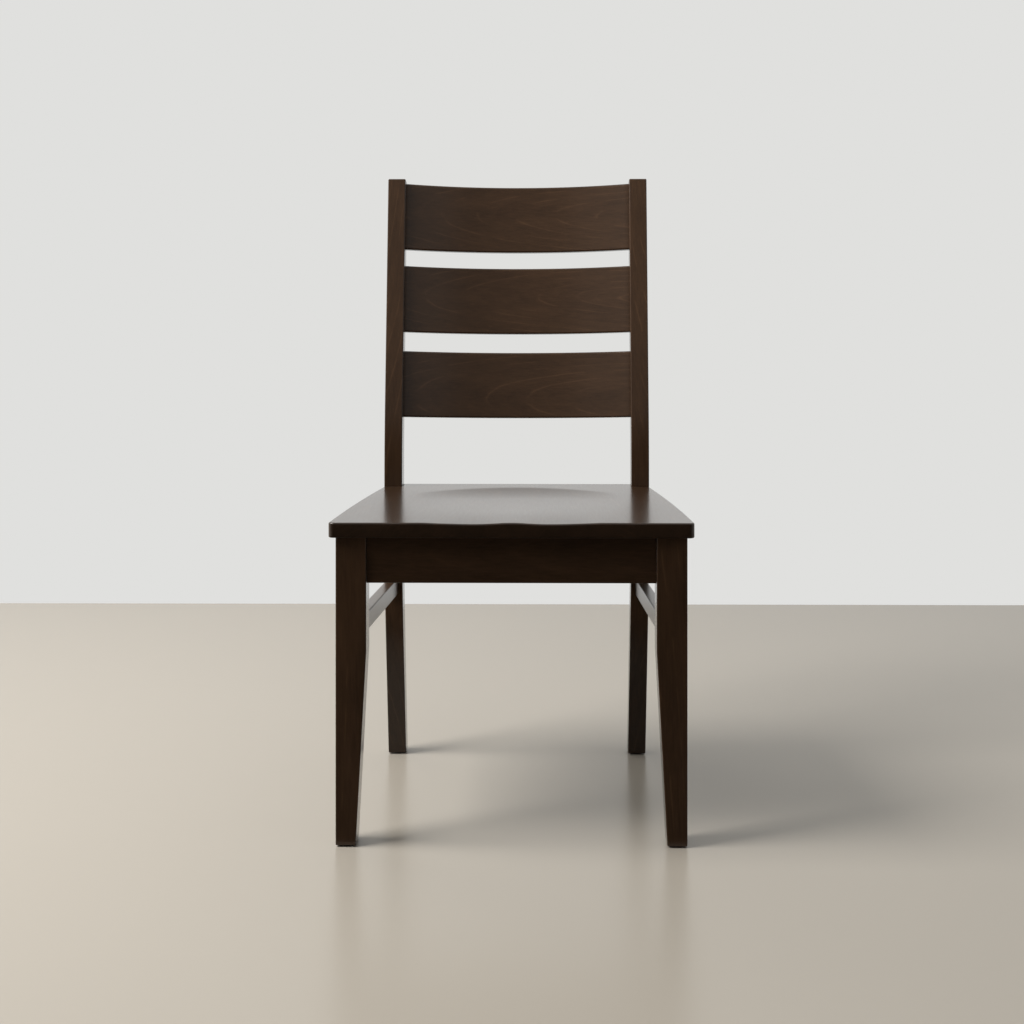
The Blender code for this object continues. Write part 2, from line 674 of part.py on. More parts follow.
def make_corner(name, side, inward, inner, apron_face, leg_face, cross_apron, side_apron, seat):
    """A corner block, its two apron screws and its seat screw. inward is +1 at the front and -1 at the rear."""
    x_leg = inner - GAP
    y_apron = apron_face + inward * GAP
    y_leg = leg_face + inward * GAP
    y_tip = y_leg + inward * BLOCK_REACH
    x_tip = x_leg - BLOCK_REACH
    x_side = side_apron_inner(y_tip) - GAP
    outline = [
        (x_leg, y_apron),
        (x_leg, y_leg),
        (side_apron_inner(y_leg) - GAP, y_leg),
        (x_side, y_tip),
        (x_side - BLOCK_TIP, y_tip),
        (x_tip, y_apron + inward * BLOCK_TIP),
        (x_tip, y_apron),
    ]
    mesh = slab(f"corner_block_{name}", [(side * x, y) for x, y in outline], BLOCK_THICKNESS)
    middle = APRON_TOP - BLOCK_THICKNESS / 2
    block = place(f"corner_block_{name}", mesh, PLAIN_WOOD, (0, 0, middle))

    x = x_tip + SCREW_INSET
    y = y_apron + inward * SCREW_GRIP
    make_screw(f"screw_{name}_cross", (side * x, y, middle), (0, inward, 0), (block, cross_apron))
    y = y_tip - inward * SCREW_INSET
    x = side_apron_inner(y) - GAP - SCREW_GRIP
    make_screw(f"screw_{name}_side", (side * x, y, middle), (-side, 0, 0), (block, side_apron))
    x = x_leg - SEAT_SCREW_INSET
    y = y_leg + inward * SEAT_SCREW_INSET
    z = SEAT_UNDERSIDE + SEAT_SCREW_BITE - SCREW_LENGTH
    make_screw(f"screw_{name}_seat", (side * x, y, z), (0, 0, -1), (block, seat))


def make_glide(name, x, y, leg):
    """A round nylon foot with a pin, and the pin's hole in the leg."""
    radius = GLIDE_DIAMETER / 2
    top = GLIDE_HEIGHT - GAP
    pin = GLIDE_PIN_DIAMETER / 2
    pin_top = top + GLIDE_PIN_LENGTH
    profile = [
        (0, pin_top),
        (pin, pin_top - pin),
        (pin, top),
        (radius, top),
        (radius, GLIDE_EDGE),
        (radius - GLIDE_EDGE, 0),
        (0, 0),
    ]
    spin(place(name, turned(name, profile), NYLON, (x, y, 0)))
    hole_top = pin_top + HOLE_END
    hole_profile = [(0, hole_top), (pin + GAP, hole_top), (pin + GAP, 0), (0, 0)]
    hole = spin(place(f"hole_{name}", turned(f"hole_{name}", hole_profile), None, (x, y, 0)))
    cut(leg, hole)


def build_chair():
    seat = make_seat()
    legs = {side: make_front_leg(f"front_leg_{word}", side) for word, side in SIDE_NAMES}
    posts = {side: make_rear_post(f"rear_post_{word}", side) for word, side in SIDE_NAMES}
    front_apron = make_cross_apron("front_apron", LEG_INNER - GAP, FRONT_APRON_FACE)
    rear_apron = make_cross_apron("rear_apron", POST_INNER - GAP, REAR_APRON_FACE)
    make_slats(list(posts.values()))

    slant = Vector((side_apron_outer(POST_FRONT) - side_apron_outer(LEG_BACK), POST_FRONT - LEG_BACK, 0))
    for word, side in SIDE_NAMES:
        leg, post = legs[side], posts[side]
        side_apron = make_side_apron(f"side_apron_{word}", side)
        make_stretcher(f"side_stretcher_{word}", side, leg, post)

        middle = FRONT_APRON_FACE + APRON_THICKNESS / 2
        spot = (side * LEG_INNER, middle, APRON_MIDDLE)
        make_dowels(f"front_{word}", spot, (side, 0, 0), DOWEL_SPACING_ENDS, (leg, front_apron))
        middle = REAR_APRON_FACE + APRON_THICKNESS / 2
        spot = (side * POST_INNER, middle, APRON_MIDDLE)
        make_dowels(f"rear_{word}", spot, (side, 0, 0), DOWEL_SPACING_ENDS, (post, rear_apron))
        along = (side * slant.x, slant.y, 0)
        for end, y, host in (("front", LEG_BACK, leg), ("rear", POST_FRONT, post)):
            spot = (side * (side_apron_outer(y) - APRON_THICKNESS / 2), y, APRON_MIDDLE)
            make_dowels(f"side_{word}_{end}", spot, along, DOWEL_SPACING_SIDES, (host, side_apron))

        make_corner(
            f"front_{word}", side, 1, LEG_INNER, FRONT_APRON_BACK, LEG_BACK, front_apron, side_apron, seat
        )
        make_corner(
            f"rear_{word}", side, -1, POST_INNER, REAR_APRON_FACE, POST_FRONT, rear_apron, side_apron, seat
        )

        x = LEG_OUTER - LEG_FOOT_WIDTH / 2
        make_glide(f"foot_glide_front_{word}", side * x, LEG_SETBACK + LEG_DEPTH / 2, leg)
        x = (POST_OUTER + POST_INNER) / 2 - POST_DRAW_IN
        y = post_front(GLIDE_HEIGHT) + POST_FOOT_DEPTH / 2
        make_glide(f"foot_glide_rear_{word}", side * x, y, post)


build_chair()
bpy.context.view_layer.update()
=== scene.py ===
# %% [markdown]
# # A ladder-back dining chair, dressed for its photograph
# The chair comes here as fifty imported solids: posts, legs, aprons, slats, stretchers, corner blocks, dowels,
# screws and glides. They have the right sizes but plain facets. In this lesson each of them gets its final
# surface: smooth rounded edges, a finely carved seat, and stained, lacquered wood.
#
# A piece could be placed by eye, but then it would drift from the solid it stands for. Here every size is
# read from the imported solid, or follows the same rule that shaped it.

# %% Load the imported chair
import math

import bmesh
import bpy
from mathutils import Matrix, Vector


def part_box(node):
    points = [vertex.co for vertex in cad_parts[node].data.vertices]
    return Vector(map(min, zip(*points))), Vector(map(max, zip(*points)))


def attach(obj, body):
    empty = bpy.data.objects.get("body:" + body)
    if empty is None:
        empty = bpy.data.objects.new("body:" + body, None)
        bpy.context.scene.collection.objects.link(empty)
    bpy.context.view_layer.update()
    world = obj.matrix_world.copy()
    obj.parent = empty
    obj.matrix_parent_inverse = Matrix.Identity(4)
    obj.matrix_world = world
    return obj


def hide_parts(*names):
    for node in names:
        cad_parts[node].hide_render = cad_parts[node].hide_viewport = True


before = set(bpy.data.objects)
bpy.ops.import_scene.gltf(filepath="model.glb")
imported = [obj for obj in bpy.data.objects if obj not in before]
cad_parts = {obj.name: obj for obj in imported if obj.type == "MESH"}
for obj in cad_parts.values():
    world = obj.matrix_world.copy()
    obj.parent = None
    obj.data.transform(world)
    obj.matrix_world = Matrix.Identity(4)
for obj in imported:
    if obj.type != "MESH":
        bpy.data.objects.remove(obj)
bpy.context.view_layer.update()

scene = bpy.context.scene
scene.view_settings.view_transform = "Standard"

# %% [markdown]
# ## The camera
# The photograph is taken from the front, a little right of the chair and below the height of its back. The
# lens looks level, so upright posts stay upright in the picture, and the frame is shifted down to hold the
# whole chair. Turning the camera down would be simpler, but the posts would lean together.

# %% Camera
CAMERA_PLACE = (0.0469, -2.2496, 0.7758)
CAMERA_TURN = 0.0095  # to the left of straight ahead, in radians
LENS, SENSOR_WIDTH = 50, 36  # millimetres
FRAME_SHIFT = (-0.0186, -0.2093)  # to the right and up, of the frame's width


def put(name, data):
    """A new object in the scene."""
    thing = bpy.data.objects.new(name, data)
    scene.collection.objects.link(thing)
    return thing


camera = put("camera", bpy.data.cameras.new("camera"))
camera.data.lens = LENS
camera.data.sensor_width = SENSOR_WIDTH
camera.data.shift_x, camera.data.shift_y = FRAME_SHIFT
camera.location = CAMERA_PLACE
camera.rotation_euler = (math.pi / 2, 0, CAMERA_TURN)
scene.camera = camera
print("camera", round(-CAMERA_PLACE[1], 2), "m in front of the chair's middle")

# %% [markdown]
# ## Building node trees
# Shader trees and geometry trees are built with the same call: it adds a node and fills its sockets, each
# with a number or with another node's output. Nodes can be laid out by hand in the editor, but a script can
# be read and changed line by line.


# %% Helpers for node trees
def feed(tree, node, sockets):
    """Fills sockets, each with another node's output or with a plain value."""
    for name, value in sockets.items():
        if isinstance(value, bpy.types.NodeSocket):
            tree.links.new(value, node.inputs[name])
        else:
            node.inputs[name].default_value = value


def add(tree, kind, sockets=None, **settings):
    node = tree.nodes.new(kind)
    for name, value in settings.items():
        setattr(node, name, value)
    feed(tree, node, sockets or {})
    return node


def calc(tree, operation, *values, clamp=False):
    sockets = dict(enumerate(values))
    return add(tree, "ShaderNodeMath", sockets, operation=operation, use_clamp=clamp).outputs[0]


def fit(tree, value, share, start, clamp=False):
    """The value times a share, plus a start."""
    return calc(tree, "MULTIPLY_ADD", value, share, start, clamp=clamp)


def vector_sum(tree, operation, first, second=(0, 0, 0), outcome="Vector"):
    sockets = {0: first, (3 if operation == "SCALE" else 1): second}
    return add(tree, "ShaderNodeVectorMath", sockets, operation=operation).outputs[outcome]


def vector_of(tree, **parts):
    return add(tree, "ShaderNodeCombineXYZ", parts).outputs[0]


def parts_of(tree, vector):
    return add(tree, "ShaderNodeSeparateXYZ", {0: vector}).outputs


def noise(tree, vector, scale, detail=2.0, roughness=0.5, outcome="Fac"):
    sockets = {"Vector": vector, "Scale": scale, "Detail": detail, "Roughness": roughness}
    return add(tree, "ShaderNodeTexNoise", sockets).outputs[outcome]


HOLDS = {int: "Int", float: "Float", tuple: "Vector"}


def new_group(name, kind, inputs, outputs):
    """A node group, what it is given, and its end. A socket has its start value or the kind it holds."""
    tree = bpy.data.node_groups.new(name, kind)
    for direction, sockets in (("INPUT", inputs), ("OUTPUT", outputs)):
        for title, start in sockets.items():
            holds = HOLDS.get(type(start), start)
            socket = tree.interface.new_socket(title, in_out=direction, socket_type=f"NodeSocket{holds}")
            if holds != start:
                socket.default_value = start
    return tree, add(tree, "NodeGroupInput").outputs, add(tree, "NodeGroupOutput")


def new_finish(name):
    finish = bpy.data.materials.new(name)
    finish.use_nodes = True
    return finish, finish.node_tree, finish.node_tree.nodes["Principled BSDF"]


def two_tone(tree, tone, dark, light):
    """The dark colour where the tone is 0, the light one where it is 1."""
    ramp = add(tree, "ShaderNodeValToRGB", {0: tone})
    for stop, colour in zip(ramp.color_ramp.elements, (dark, light)):
        stop.color = (*colour, 1)
    return ramp.outputs["Color"]


def relief(tree, height, strength, depth):
    return add(tree, "ShaderNodeBump", {"Height": height, "Strength": strength, "Distance": depth}).outputs[0]


def object_place(tree):
    return add(tree, "ShaderNodeTexCoord").outputs["Object"]


print("helpers ready")

# %% [markdown]
# ## The room
# The chair stands on a pale floor in front of a pale wall. The side of the room behind the camera is dark,
# which, with painted shade in their stain, is why the front of the legs looks nearly black while the seat,
# seen at a low angle, mirrors the bright wall. Lacquer shows what stands around it, so dim screens stand
# behind the camera's place, and a dark mat lies in front of the chair. Only reflections see them. A closed
# room would also keep out the sky.

# %% Floor, wall and screens
FLOOR_COLOUR, FLOOR_ROUGHNESS = (0.43, 0.395, 0.343), 0.25
WALL_COLOUR = (0.745, 0.745, 0.73)
ROOM_HALF_WIDTH, WALL_DISTANCE, WALL_HEIGHT = 7.0, 1.35, 4.0
SCREEN_DISTANCE = 3.6
SCREENS = (  # left, right, bottom and top edge, and how bright it looks in the lacquer
    (-5.0, 5.0, 0.0, 1.0, 0.01),
    (-5.0, -1.3, 1.0, 3.4, 0.44),
    (-1.3, 1.3, 1.0, 3.4, 0.26),
    (1.3, 5.0, 1.0, 3.4, 0.52),
)
MAT_START, MAT_HALF_WIDTH, MAT_HEIGHT, MAT_GLOW = -0.262, 1.6, 0.001, 0.01
DARK_PAINT = (0.02, 0.02, 0.02)


def stage_plane(name, corners, finish):
    mesh = bpy.data.meshes.new(name)
    mesh.from_pydata(corners, [], [(0, 1, 2, 3)])
    mesh.materials.append(finish)
    plane = put(name, mesh)
    return plane


def seen_directly(tree):
    """1 where the camera sees it, also mirrored or through glass; 0 where it only passes light on."""
    ray = add(tree, "ShaderNodeLightPath").outputs
    seen = calc(tree, "MAXIMUM", ray["Is Camera Ray"], ray["Is Glossy Ray"])
    return calc(tree, "MAXIMUM", seen, ray["Is Transmission Ray"])


def make_backdrop(name, seen_colour, paint_colour):
    """Looks one colour to the camera and in reflections, and is lit as another. Its back is clear."""
    finish, tree = new_finish(name)[:2]
    tree.nodes.clear()
    glow = add(tree, "ShaderNodeEmission", {"Color": (*seen_colour, 1)}).outputs[0]
    paint = add(tree, "ShaderNodeBsdfDiffuse", {"Color": (*paint_colour, 1)}).outputs[0]
    lit = add(tree, "ShaderNodeMixShader", {0: seen_directly(tree), 1: paint, 2: glow}).outputs[0]
    back = add(tree, "ShaderNodeNewGeometry").outputs["Backfacing"]
    clear = add(tree, "ShaderNodeBsdfTransparent").outputs[0]
    one_sided = add(tree, "ShaderNodeMixShader", {0: back, 1: lit, 2: clear}).outputs[0]
    add(tree, "ShaderNodeOutputMaterial", {0: one_sided})
    return finish


floor_finish, tree, shader = new_finish("polished_floor")
feed(tree, shader, {"Base Color": (*FLOOR_COLOUR, 1), "Roughness": FLOOR_ROUGHNESS})
wall_finish = make_backdrop("pale_wall", WALL_COLOUR, WALL_COLOUR)
w, d, h = ROOM_HALF_WIDTH, WALL_DISTANCE, WALL_HEIGHT
stage_plane("floor", [(-w, -w, 0), (w, -w, 0), (w, w, 0), (-w, w, 0)], floor_finish)
stage_plane("wall", [(-w, d, 0), (w, d, 0), (w, d, h), (-w, d, h)], wall_finish)

y = -SCREEN_DISTANCE
for number, (left, right, low, high, glow) in enumerate(SCREENS):
    finish = make_backdrop(f"screen_{number}", (glow,) * 3, DARK_PAINT)
    corners = [(left, y, low), (left, y, high), (right, y, high), (right, y, low)]
    stage_plane(f"screen_{number}", corners, finish).visible_camera = False

w, z = MAT_HALF_WIDTH, MAT_HEIGHT
finish = make_backdrop("mat", (MAT_GLOW,) * 3, DARK_PAINT)
mat = stage_plane("mat", [(-w, y, z), (w, y, z), (w, MAT_START, z), (-w, MAT_START, z)], finish)
mat.visible_camera = mat.visible_diffuse = mat.visible_shadow = False
print("room", 2 * ROOM_HALF_WIDTH, "m wide, wall", WALL_DISTANCE, "m behind the chair")

# %% [markdown]
# ## Window and sky
# A window high on the left gives the light, and an even sky fills the shadows. A sky alone would be easier,
# but it would light and veil every side alike. It looks brighter than it shines, so that the lacquer gleams
# while the stain under it stays dark.

# %% Window light and sky
WINDOW_PLACE = (-2.31, -0.65, 2.85)
WINDOW_AIM = (0.0, 0.0, 0.45)
WINDOW_SIZE = (1.5, 1.7)
WINDOW_POWER = 150
WINDOW_COLOUR = (1.0, 0.97, 0.93)
SKY_COLOUR = (1.0, 1.0, 0.99)
SKY_SEEN, SKY_FILL = 0.74, 0.42

window = put("window", bpy.data.lights.new("window", "AREA"))
window.data.shape = "RECTANGLE"
window.data.size, window.data.size_y = WINDOW_SIZE
window.data.energy = WINDOW_POWER
window.data.color = WINDOW_COLOUR
window.location = WINDOW_PLACE
window.rotation_euler = (Vector(WINDOW_AIM) - Vector(WINDOW_PLACE)).to_track_quat("-Z", "Y").to_euler()

sky = bpy.data.worlds.new("sky")
scene.world = sky
sky.use_nodes = True
tree = sky.node_tree
tree.nodes.clear()
strength = fit(tree, seen_directly(tree), SKY_SEEN - SKY_FILL, SKY_FILL)
background = add(tree, "ShaderNodeBackground", {"Color": (*SKY_COLOUR, 1), "Strength": strength})
add(tree, "ShaderNodeOutputWorld", {0: background.outputs[0]})
print("window", WINDOW_POWER, "W, sky fill", SKY_FILL)

# %% [markdown]
# ## Grain
# The chair is a pale hardwood under a dark brown stain and a satin lacquer. Through the stain come thin paler
# growth lines, fine fibres along the board, small dark pores and slow clouds where it took unevenly. A photo
# of wood would need unwrapping and would tile. A node group in the board's own space follows the board round
# every edge: the lines lie at equal steps from the heart of the tree, so a face that cuts them at a slant
# shows the pointed arches of a real board. A bent board is straightened first, as it was when it grew.

# %% Grain as a node group
WANDER_SCALE, CLOUD_SCALE, PATCH_SCALE = 14.0, 38.0, 34.0
FIBRE_SCALE, PORE_SCALE = 400.0, 1500.0
LONG, HALF_LONG, FIBRE_LONG, PORE_LONG = 0.2, 0.5, 0.05, 0.09  # a lower share is drawn out further


def drawn_out(tree, vector, share):
    return vector_sum(tree, "MULTIPLY", vector, (1.0, 1.0, share))


def make_grain_group():
    inputs = {
        "Vector": "Vector", "Centre": (0, 0, 0), "Turn": (0, 0, 0), "Heart": (0, 0.05, 0), "Tilt": (0, 0, 0),
        "Bend": 0.0, "Ring Width": 0.009, "Wander": 0.008,
    }
    outputs = dict.fromkeys(("Rings", "Lines", "Fibres", "Pores", "Cloud"), "Float")
    tree, given, end = new_group("wood_grain", "ShaderNodeTree", inputs, outputs)

    # The board's length is brought to Z, straightened, and set at its place in the log.
    centred = vector_sum(tree, "SUBTRACT", given["Vector"], given["Centre"])
    turned = add(tree, "ShaderNodeMapping", {"Vector": centred, "Rotation": given["Turn"]})
    x, y, length = parts_of(tree, turned.outputs[0])
    square = calc(tree, "MULTIPLY", length, length)
    level = fit(tree, square, given["Bend"], y)
    straight = vector_of(tree, X=x, Y=level, Z=length)
    sockets = {"Vector": straight, "Location": given["Heart"], "Rotation": given["Tilt"]}
    along = add(tree, "ShaderNodeMapping", sockets).outputs[0]

    # The heart of the tree wanders slowly, so the rings do too.
    slow = drawn_out(tree, along, LONG)
    drift = noise(tree, slow, WANDER_SCALE, 4.0, outcome="Color")
    centred = vector_sum(tree, "SUBTRACT", drift, (0.5, 0.5, 0.5))
    spot = vector_sum(tree, "ADD", along, vector_sum(tree, "SCALE", centred, given["Wander"]))
    distance = vector_sum(tree, "LENGTH", drawn_out(tree, spot, 0.0), outcome="Value")
    share = calc(tree, "FRACT", calc(tree, "DIVIDE", distance, given["Ring Width"]))

    # A thin pale line in each ring shows only here and there.
    off_line = calc(tree, "ABSOLUTE", fit(tree, share, 2.0, -1.0))
    line = calc(tree, "POWER", calc(tree, "SUBTRACT", 1.0, off_line), 12.0)
    patches = noise(tree, drawn_out(tree, along, HALF_LONG), PATCH_SCALE)
    patches = fit(tree, patches, 8.0, -3.7, clamp=True)

    # Fibres and pores are noise drawn out along the board.
    dots = noise(tree, drawn_out(tree, spot, PORE_LONG), PORE_SCALE, 1.0)
    feed(tree, end, {
        "Rings": calc(tree, "POWER", share, 2.0),
        "Lines": calc(tree, "MULTIPLY", line, patches),
        "Fibres": noise(tree, drawn_out(tree, spot, FIBRE_LONG), FIBRE_SCALE, 5.0, 0.7),
        "Pores": fit(tree, dots, 9.0, -6.0, clamp=True),
        "Cloud": noise(tree, slow, CLOUD_SCALE, 3.0, 0.55),
    })
    return tree


GRAIN = make_grain_group()
print("grain group with", len(GRAIN.nodes), "nodes")

# %% [markdown]
# ## Bands and staves
# Two more groups change a finish over a board. A band fades it between two places. On the posts the bands
# paint shade and light into the stain, darker towards the seat and the foot and lighter just under the seat;
# on the seat a band darkens the end grain, which drinks more stain. Staves cut a wide board into strips, each
# out of another part of the log. Painted by hand, neither would follow the sizes.

# %% Band and stave groups
JOINT_SHARPNESS = 2500.0  # so the dark line of a joint is under a millimetre wide


def make_band_group():
    inputs = {"Vector": "Vector", "Direction": (0, 0, 1), "Start": 0.0, "End": 1.0}
    tree, given, end = new_group("band", "ShaderNodeTree", inputs, {"Mask": "Float"})
    place = vector_sum(tree, "DOT_PRODUCT", given["Vector"], given["Direction"], "Value")
    sockets = {"Value": place, "From Min": given["Start"], "From Max": given["End"]}
    fade = add(tree, "ShaderNodeMapRange", sockets, interpolation_type="SMOOTHSTEP")
    feed(tree, end, {0: fade.outputs[0]})
    return tree


def make_stave_group():
    inputs = {"Vector": "Vector", "Width": 0.07, "Slip": (0.05, 0.5, 0.02)}
    outputs = {"Vector": "Vector", "Tone": "Float", "Joint": "Float"}
    tree, given, end = new_group("staves", "ShaderNodeTree", inputs, outputs)
    x = parts_of(tree, given["Vector"])["X"]
    number = calc(tree, "ROUND", calc(tree, "DIVIDE", x, given["Width"]))
    chance = add(tree, "ShaderNodeTexWhiteNoise", {"W": number}, noise_dimensions="1D")
    middle = vector_of(tree, X=calc(tree, "MULTIPLY", number, given["Width"]))
    own = vector_sum(tree, "SUBTRACT", given["Vector"], middle)
    slip = vector_sum(tree, "SUBTRACT", chance.outputs["Color"], (0.5, 0.5, 0.5))
    off_middle = calc(tree, "ABSOLUTE", parts_of(tree, own)["X"])
    edge = fit(tree, given["Width"], -0.5, off_middle)
    feed(tree, end, {
        "Vector": vector_sum(tree, "ADD", own, vector_sum(tree, "MULTIPLY", slip, given["Slip"])),
        "Tone": chance.outputs["Value"],
        "Joint": fit(tree, edge, JOINT_SHARPNESS, 1.0, clamp=True),
    })
    return tree


BAND = make_band_group()
STAVES = make_stave_group()
print("groups:", BAND.name, STAVES.name)

# %% [markdown]
# ## One finish, many boards
# Every board is cut from another place in the log. The finish is one recipe, and each board gets its own
# copy with its own heart, tilt and shade. On the front legs, the front and rear aprons and the posts that
# shade is painted shade and light, not stain: darker low down and under the seat, lighter on the right post.
# The lacquer is a coat over the stain: it fills the pores nearly level, so the bump is slight and the
# reflections are soft rather than broken.

# %% Stained and lacquered wood
STAIN_DARK = (0.0230, 0.0125, 0.0068)
STAIN_LIGHT = (0.088, 0.047, 0.0245)
GRAIN_TURN = {  # brings the board's length to Z
    "x": (0, -math.pi / 2, 0), "y": (math.pi / 2, 0, 0), "z": (0, 0, 0),
}
STAIN_MIDDLE = 0.48
RING_SHARE, LINE_SHARE = 0.06, 0.48
FIBRE_SHARE, CLOUD_SHARE = 0.30, 0.30
PORE_SHARE, STAVE_SHARE = 0.14, 0.10
RING_WIDTH = 0.0092
FIBRE_ROUGHNESS = 0.10
PORE_DEPTH = 0.8  # against the height of the fibres
LACQUER_IOR = 1.3


def grain_of(tree, node, direction, heart, tilt, ring_width, bend=0.0, place=None):
    """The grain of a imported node's board, which lies off the heart of its log by these metres."""
    low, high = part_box(node)
    sockets = {
        "Vector": place or object_place(tree), "Centre": (low + high) / 2, "Turn": GRAIN_TURN[direction],
        "Heart": heart, "Tilt": (*tilt, 0), "Ring Width": ring_width, "Bend": bend,
    }
    return add(tree, "ShaderNodeGroup", sockets, node_tree=GRAIN).outputs


def stain_tone(tree, grain, lines=LINE_SHARE):
    """A value from 0, the darkest stain, to 1, the lightest."""
    tone = fit(tree, grain["Rings"], -RING_SHARE, STAIN_MIDDLE)
    tone = fit(tree, grain["Lines"], lines, tone)
    for name, share in (("Fibres", FIBRE_SHARE), ("Cloud", CLOUD_SHARE)):
        centred = calc(tree, "SUBTRACT", grain[name], 0.5)
        tone = fit(tree, centred, 2 * share, tone)
    return fit(tree, grain["Pores"], -PORE_SHARE, tone, clamp=True)


def toned(tree, place, colour, shade, bands):
    """The colour times a shade, and past each band (direction, start, end, shade) also times its shade."""
    for direction, start, end, darker in bands:
        sockets = {"Vector": place, "Direction": direction, "Start": start, "End": end}
        mask = add(tree, "ShaderNodeGroup", sockets, node_tree=BAND).outputs[0]
        shade = calc(tree, "MULTIPLY", fit(tree, mask, darker - 1, 1.0), shade)
    return vector_sum(tree, "SCALE", colour, shade)


def make_stained_wood(
    node, direction, heart, tilt=(0.03, 0.02), shade=1.0, gloss=0.19, bend=0.0, bands=(), stave=None,
    lines=LINE_SHARE, haze=0.0, coat=0.8,
):
    """The haze is how much rougher the wood under the lacquer is than the lacquer's own face."""
    finish, tree, shader = new_finish(f"stained_wood_{node}")
    place = board = object_place(tree)
    if stave:
        staves = add(tree, "ShaderNodeGroup", {"Vector": place, "Width": stave}, node_tree=STAVES).outputs
        board = staves["Vector"]
    grain = grain_of(tree, node, direction, heart, tilt, RING_WIDTH, bend, board)
    tone = stain_tone(tree, grain, lines)
    if stave:
        tone = fit(tree, staves["Tone"], STAVE_SHARE, tone)
        tone = fit(tree, staves["Joint"], -STAVE_SHARE, tone)
    colour = two_tone(tree, tone, STAIN_DARK, STAIN_LIGHT)
    height = fit(tree, grain["Pores"], -PORE_DEPTH, grain["Fibres"])
    feed(tree, shader, {
        "Base Color": toned(tree, place, colour, shade, bands),
        "Roughness": fit(tree, grain["Fibres"], FIBRE_ROUGHNESS, gloss + haze),
        "Normal": relief(tree, height, 0.12, 0.0002),
        "IOR": LACQUER_IOR, "Coat IOR": LACQUER_IOR,
        "Coat Weight": coat, "Coat Roughness": gloss + 0.01,
    })
    return finish


print("stain from", STAIN_DARK, "to", STAIN_LIGHT)

# %% [markdown]
# ## Bare wood, zinc and nylon
# The corner blocks are bare beech, their screws are zinc plated, and the feet stand on moulded nylon. They
# are seldom seen, but someone will turn the chair over.

# %% The small finishes
BEECH_DARK = (0.36, 0.215, 0.115)
BEECH_LIGHT = (0.62, 0.43, 0.27)
BEECH_RING_WIDTH, BEECH_ROUGHNESS = 0.0035, 0.62


def make_plain_wood(name, node, direction, heart):
    finish, tree, shader = new_finish(name)
    grain = grain_of(tree, node, direction, heart, (0.02, 0.03), BEECH_RING_WIDTH)
    feed(tree, shader, {
        "Base Color": two_tone(tree, stain_tone(tree, grain), BEECH_DARK, BEECH_LIGHT),
        "Roughness": BEECH_ROUGHNESS,
        "Normal": relief(tree, grain["Fibres"], 0.35, 0.0003),
    })
    return finish


def make_mottled(name, dark, light, scale, roughness, metallic=0.0):
    """A plain substance with a slight mottle: plated steel or moulded nylon."""
    finish, tree, shader = new_finish(name)
    mottle = noise(tree, object_place(tree), scale, 3.0)
    feed(tree, shader, {
        "Base Color": two_tone(tree, mottle, dark, light),
        "Roughness": fit(tree, mottle, 0.2, roughness - 0.1),
        "Metallic": metallic,
        "Normal": relief(tree, mottle, 0.2, 0.0001),
    })
    return finish


ZINC = make_mottled("zinc_steel", (0.50, 0.49, 0.45), (0.72, 0.70, 0.62), 900.0, 0.34, 1.0)
NYLON = make_mottled("nylon", (0.030, 0.024, 0.020), (0.055, 0.044, 0.036), 1400.0, 0.5)
print("finishes:", ZINC.name, NYLON.name)

# %% [markdown]
# ## Boards and bars
# Most of the chair is straight or gently bent bars. Each is a short stack of four-cornered rings, skinned
# and capped. A Bevel modifier rounds its long edges by their weights, so that an edge can stay crisp where
# it meets a neighbour. A Weighted Normal modifier then keeps the flats flat in the light.

# %% Helpers for pieces
EDGE_STEPS = 5  # facets round a rounded edge
SHARP_ANGLE = math.radians(50)


def modify(drawn, kind, **settings):
    modifier = drawn.modifiers.new(kind.lower(), kind)
    for name, value in settings.items():
        setattr(modifier, name, value)


def finished(name, drawn):
    """The evaluated object as a plain mesh on a new object at the origin."""
    bpy.context.view_layer.update()
    mesh = bpy.data.meshes.new_from_object(drawn.evaluated_get(bpy.context.evaluated_depsgraph_get()))
    old = drawn.data
    bpy.data.objects.remove(drawn)
    if old.users == 0:
        bpy.data.meshes.remove(old)
    mesh.name = name
    return put(name, mesh)


def levelled(name, drawn):
    """Smooth light over rounded edges, level over the flats."""
    drawn.data.shade_smooth()
    drawn.data.set_sharp_from_angle(angle=SHARP_ANGLE)
    modify(drawn, "WEIGHTED_NORMAL", keep_sharp=True)
    return finished(name, drawn)


def drawn_from(bm):
    bmesh.ops.recalc_face_normals(bm, faces=bm.faces)
    mesh = bpy.data.meshes.new("drawn")
    bm.to_mesh(mesh)
    bm.free()
    return put("drawn", mesh)


def rounded(name, bm, radius):
    """Rounds the weighted edges of a bmesh and returns it as a finished piece."""
    drawn = drawn_from(bm)
    modify(drawn, "BEVEL", limit_method="WEIGHT", width=radius, segments=EDGE_STEPS)
    modify(drawn, "WELD", merge_threshold=0.000001)
    return levelled(name, finished("rounded", drawn))


print("piece helpers ready,", EDGE_STEPS, "facets round an edge")


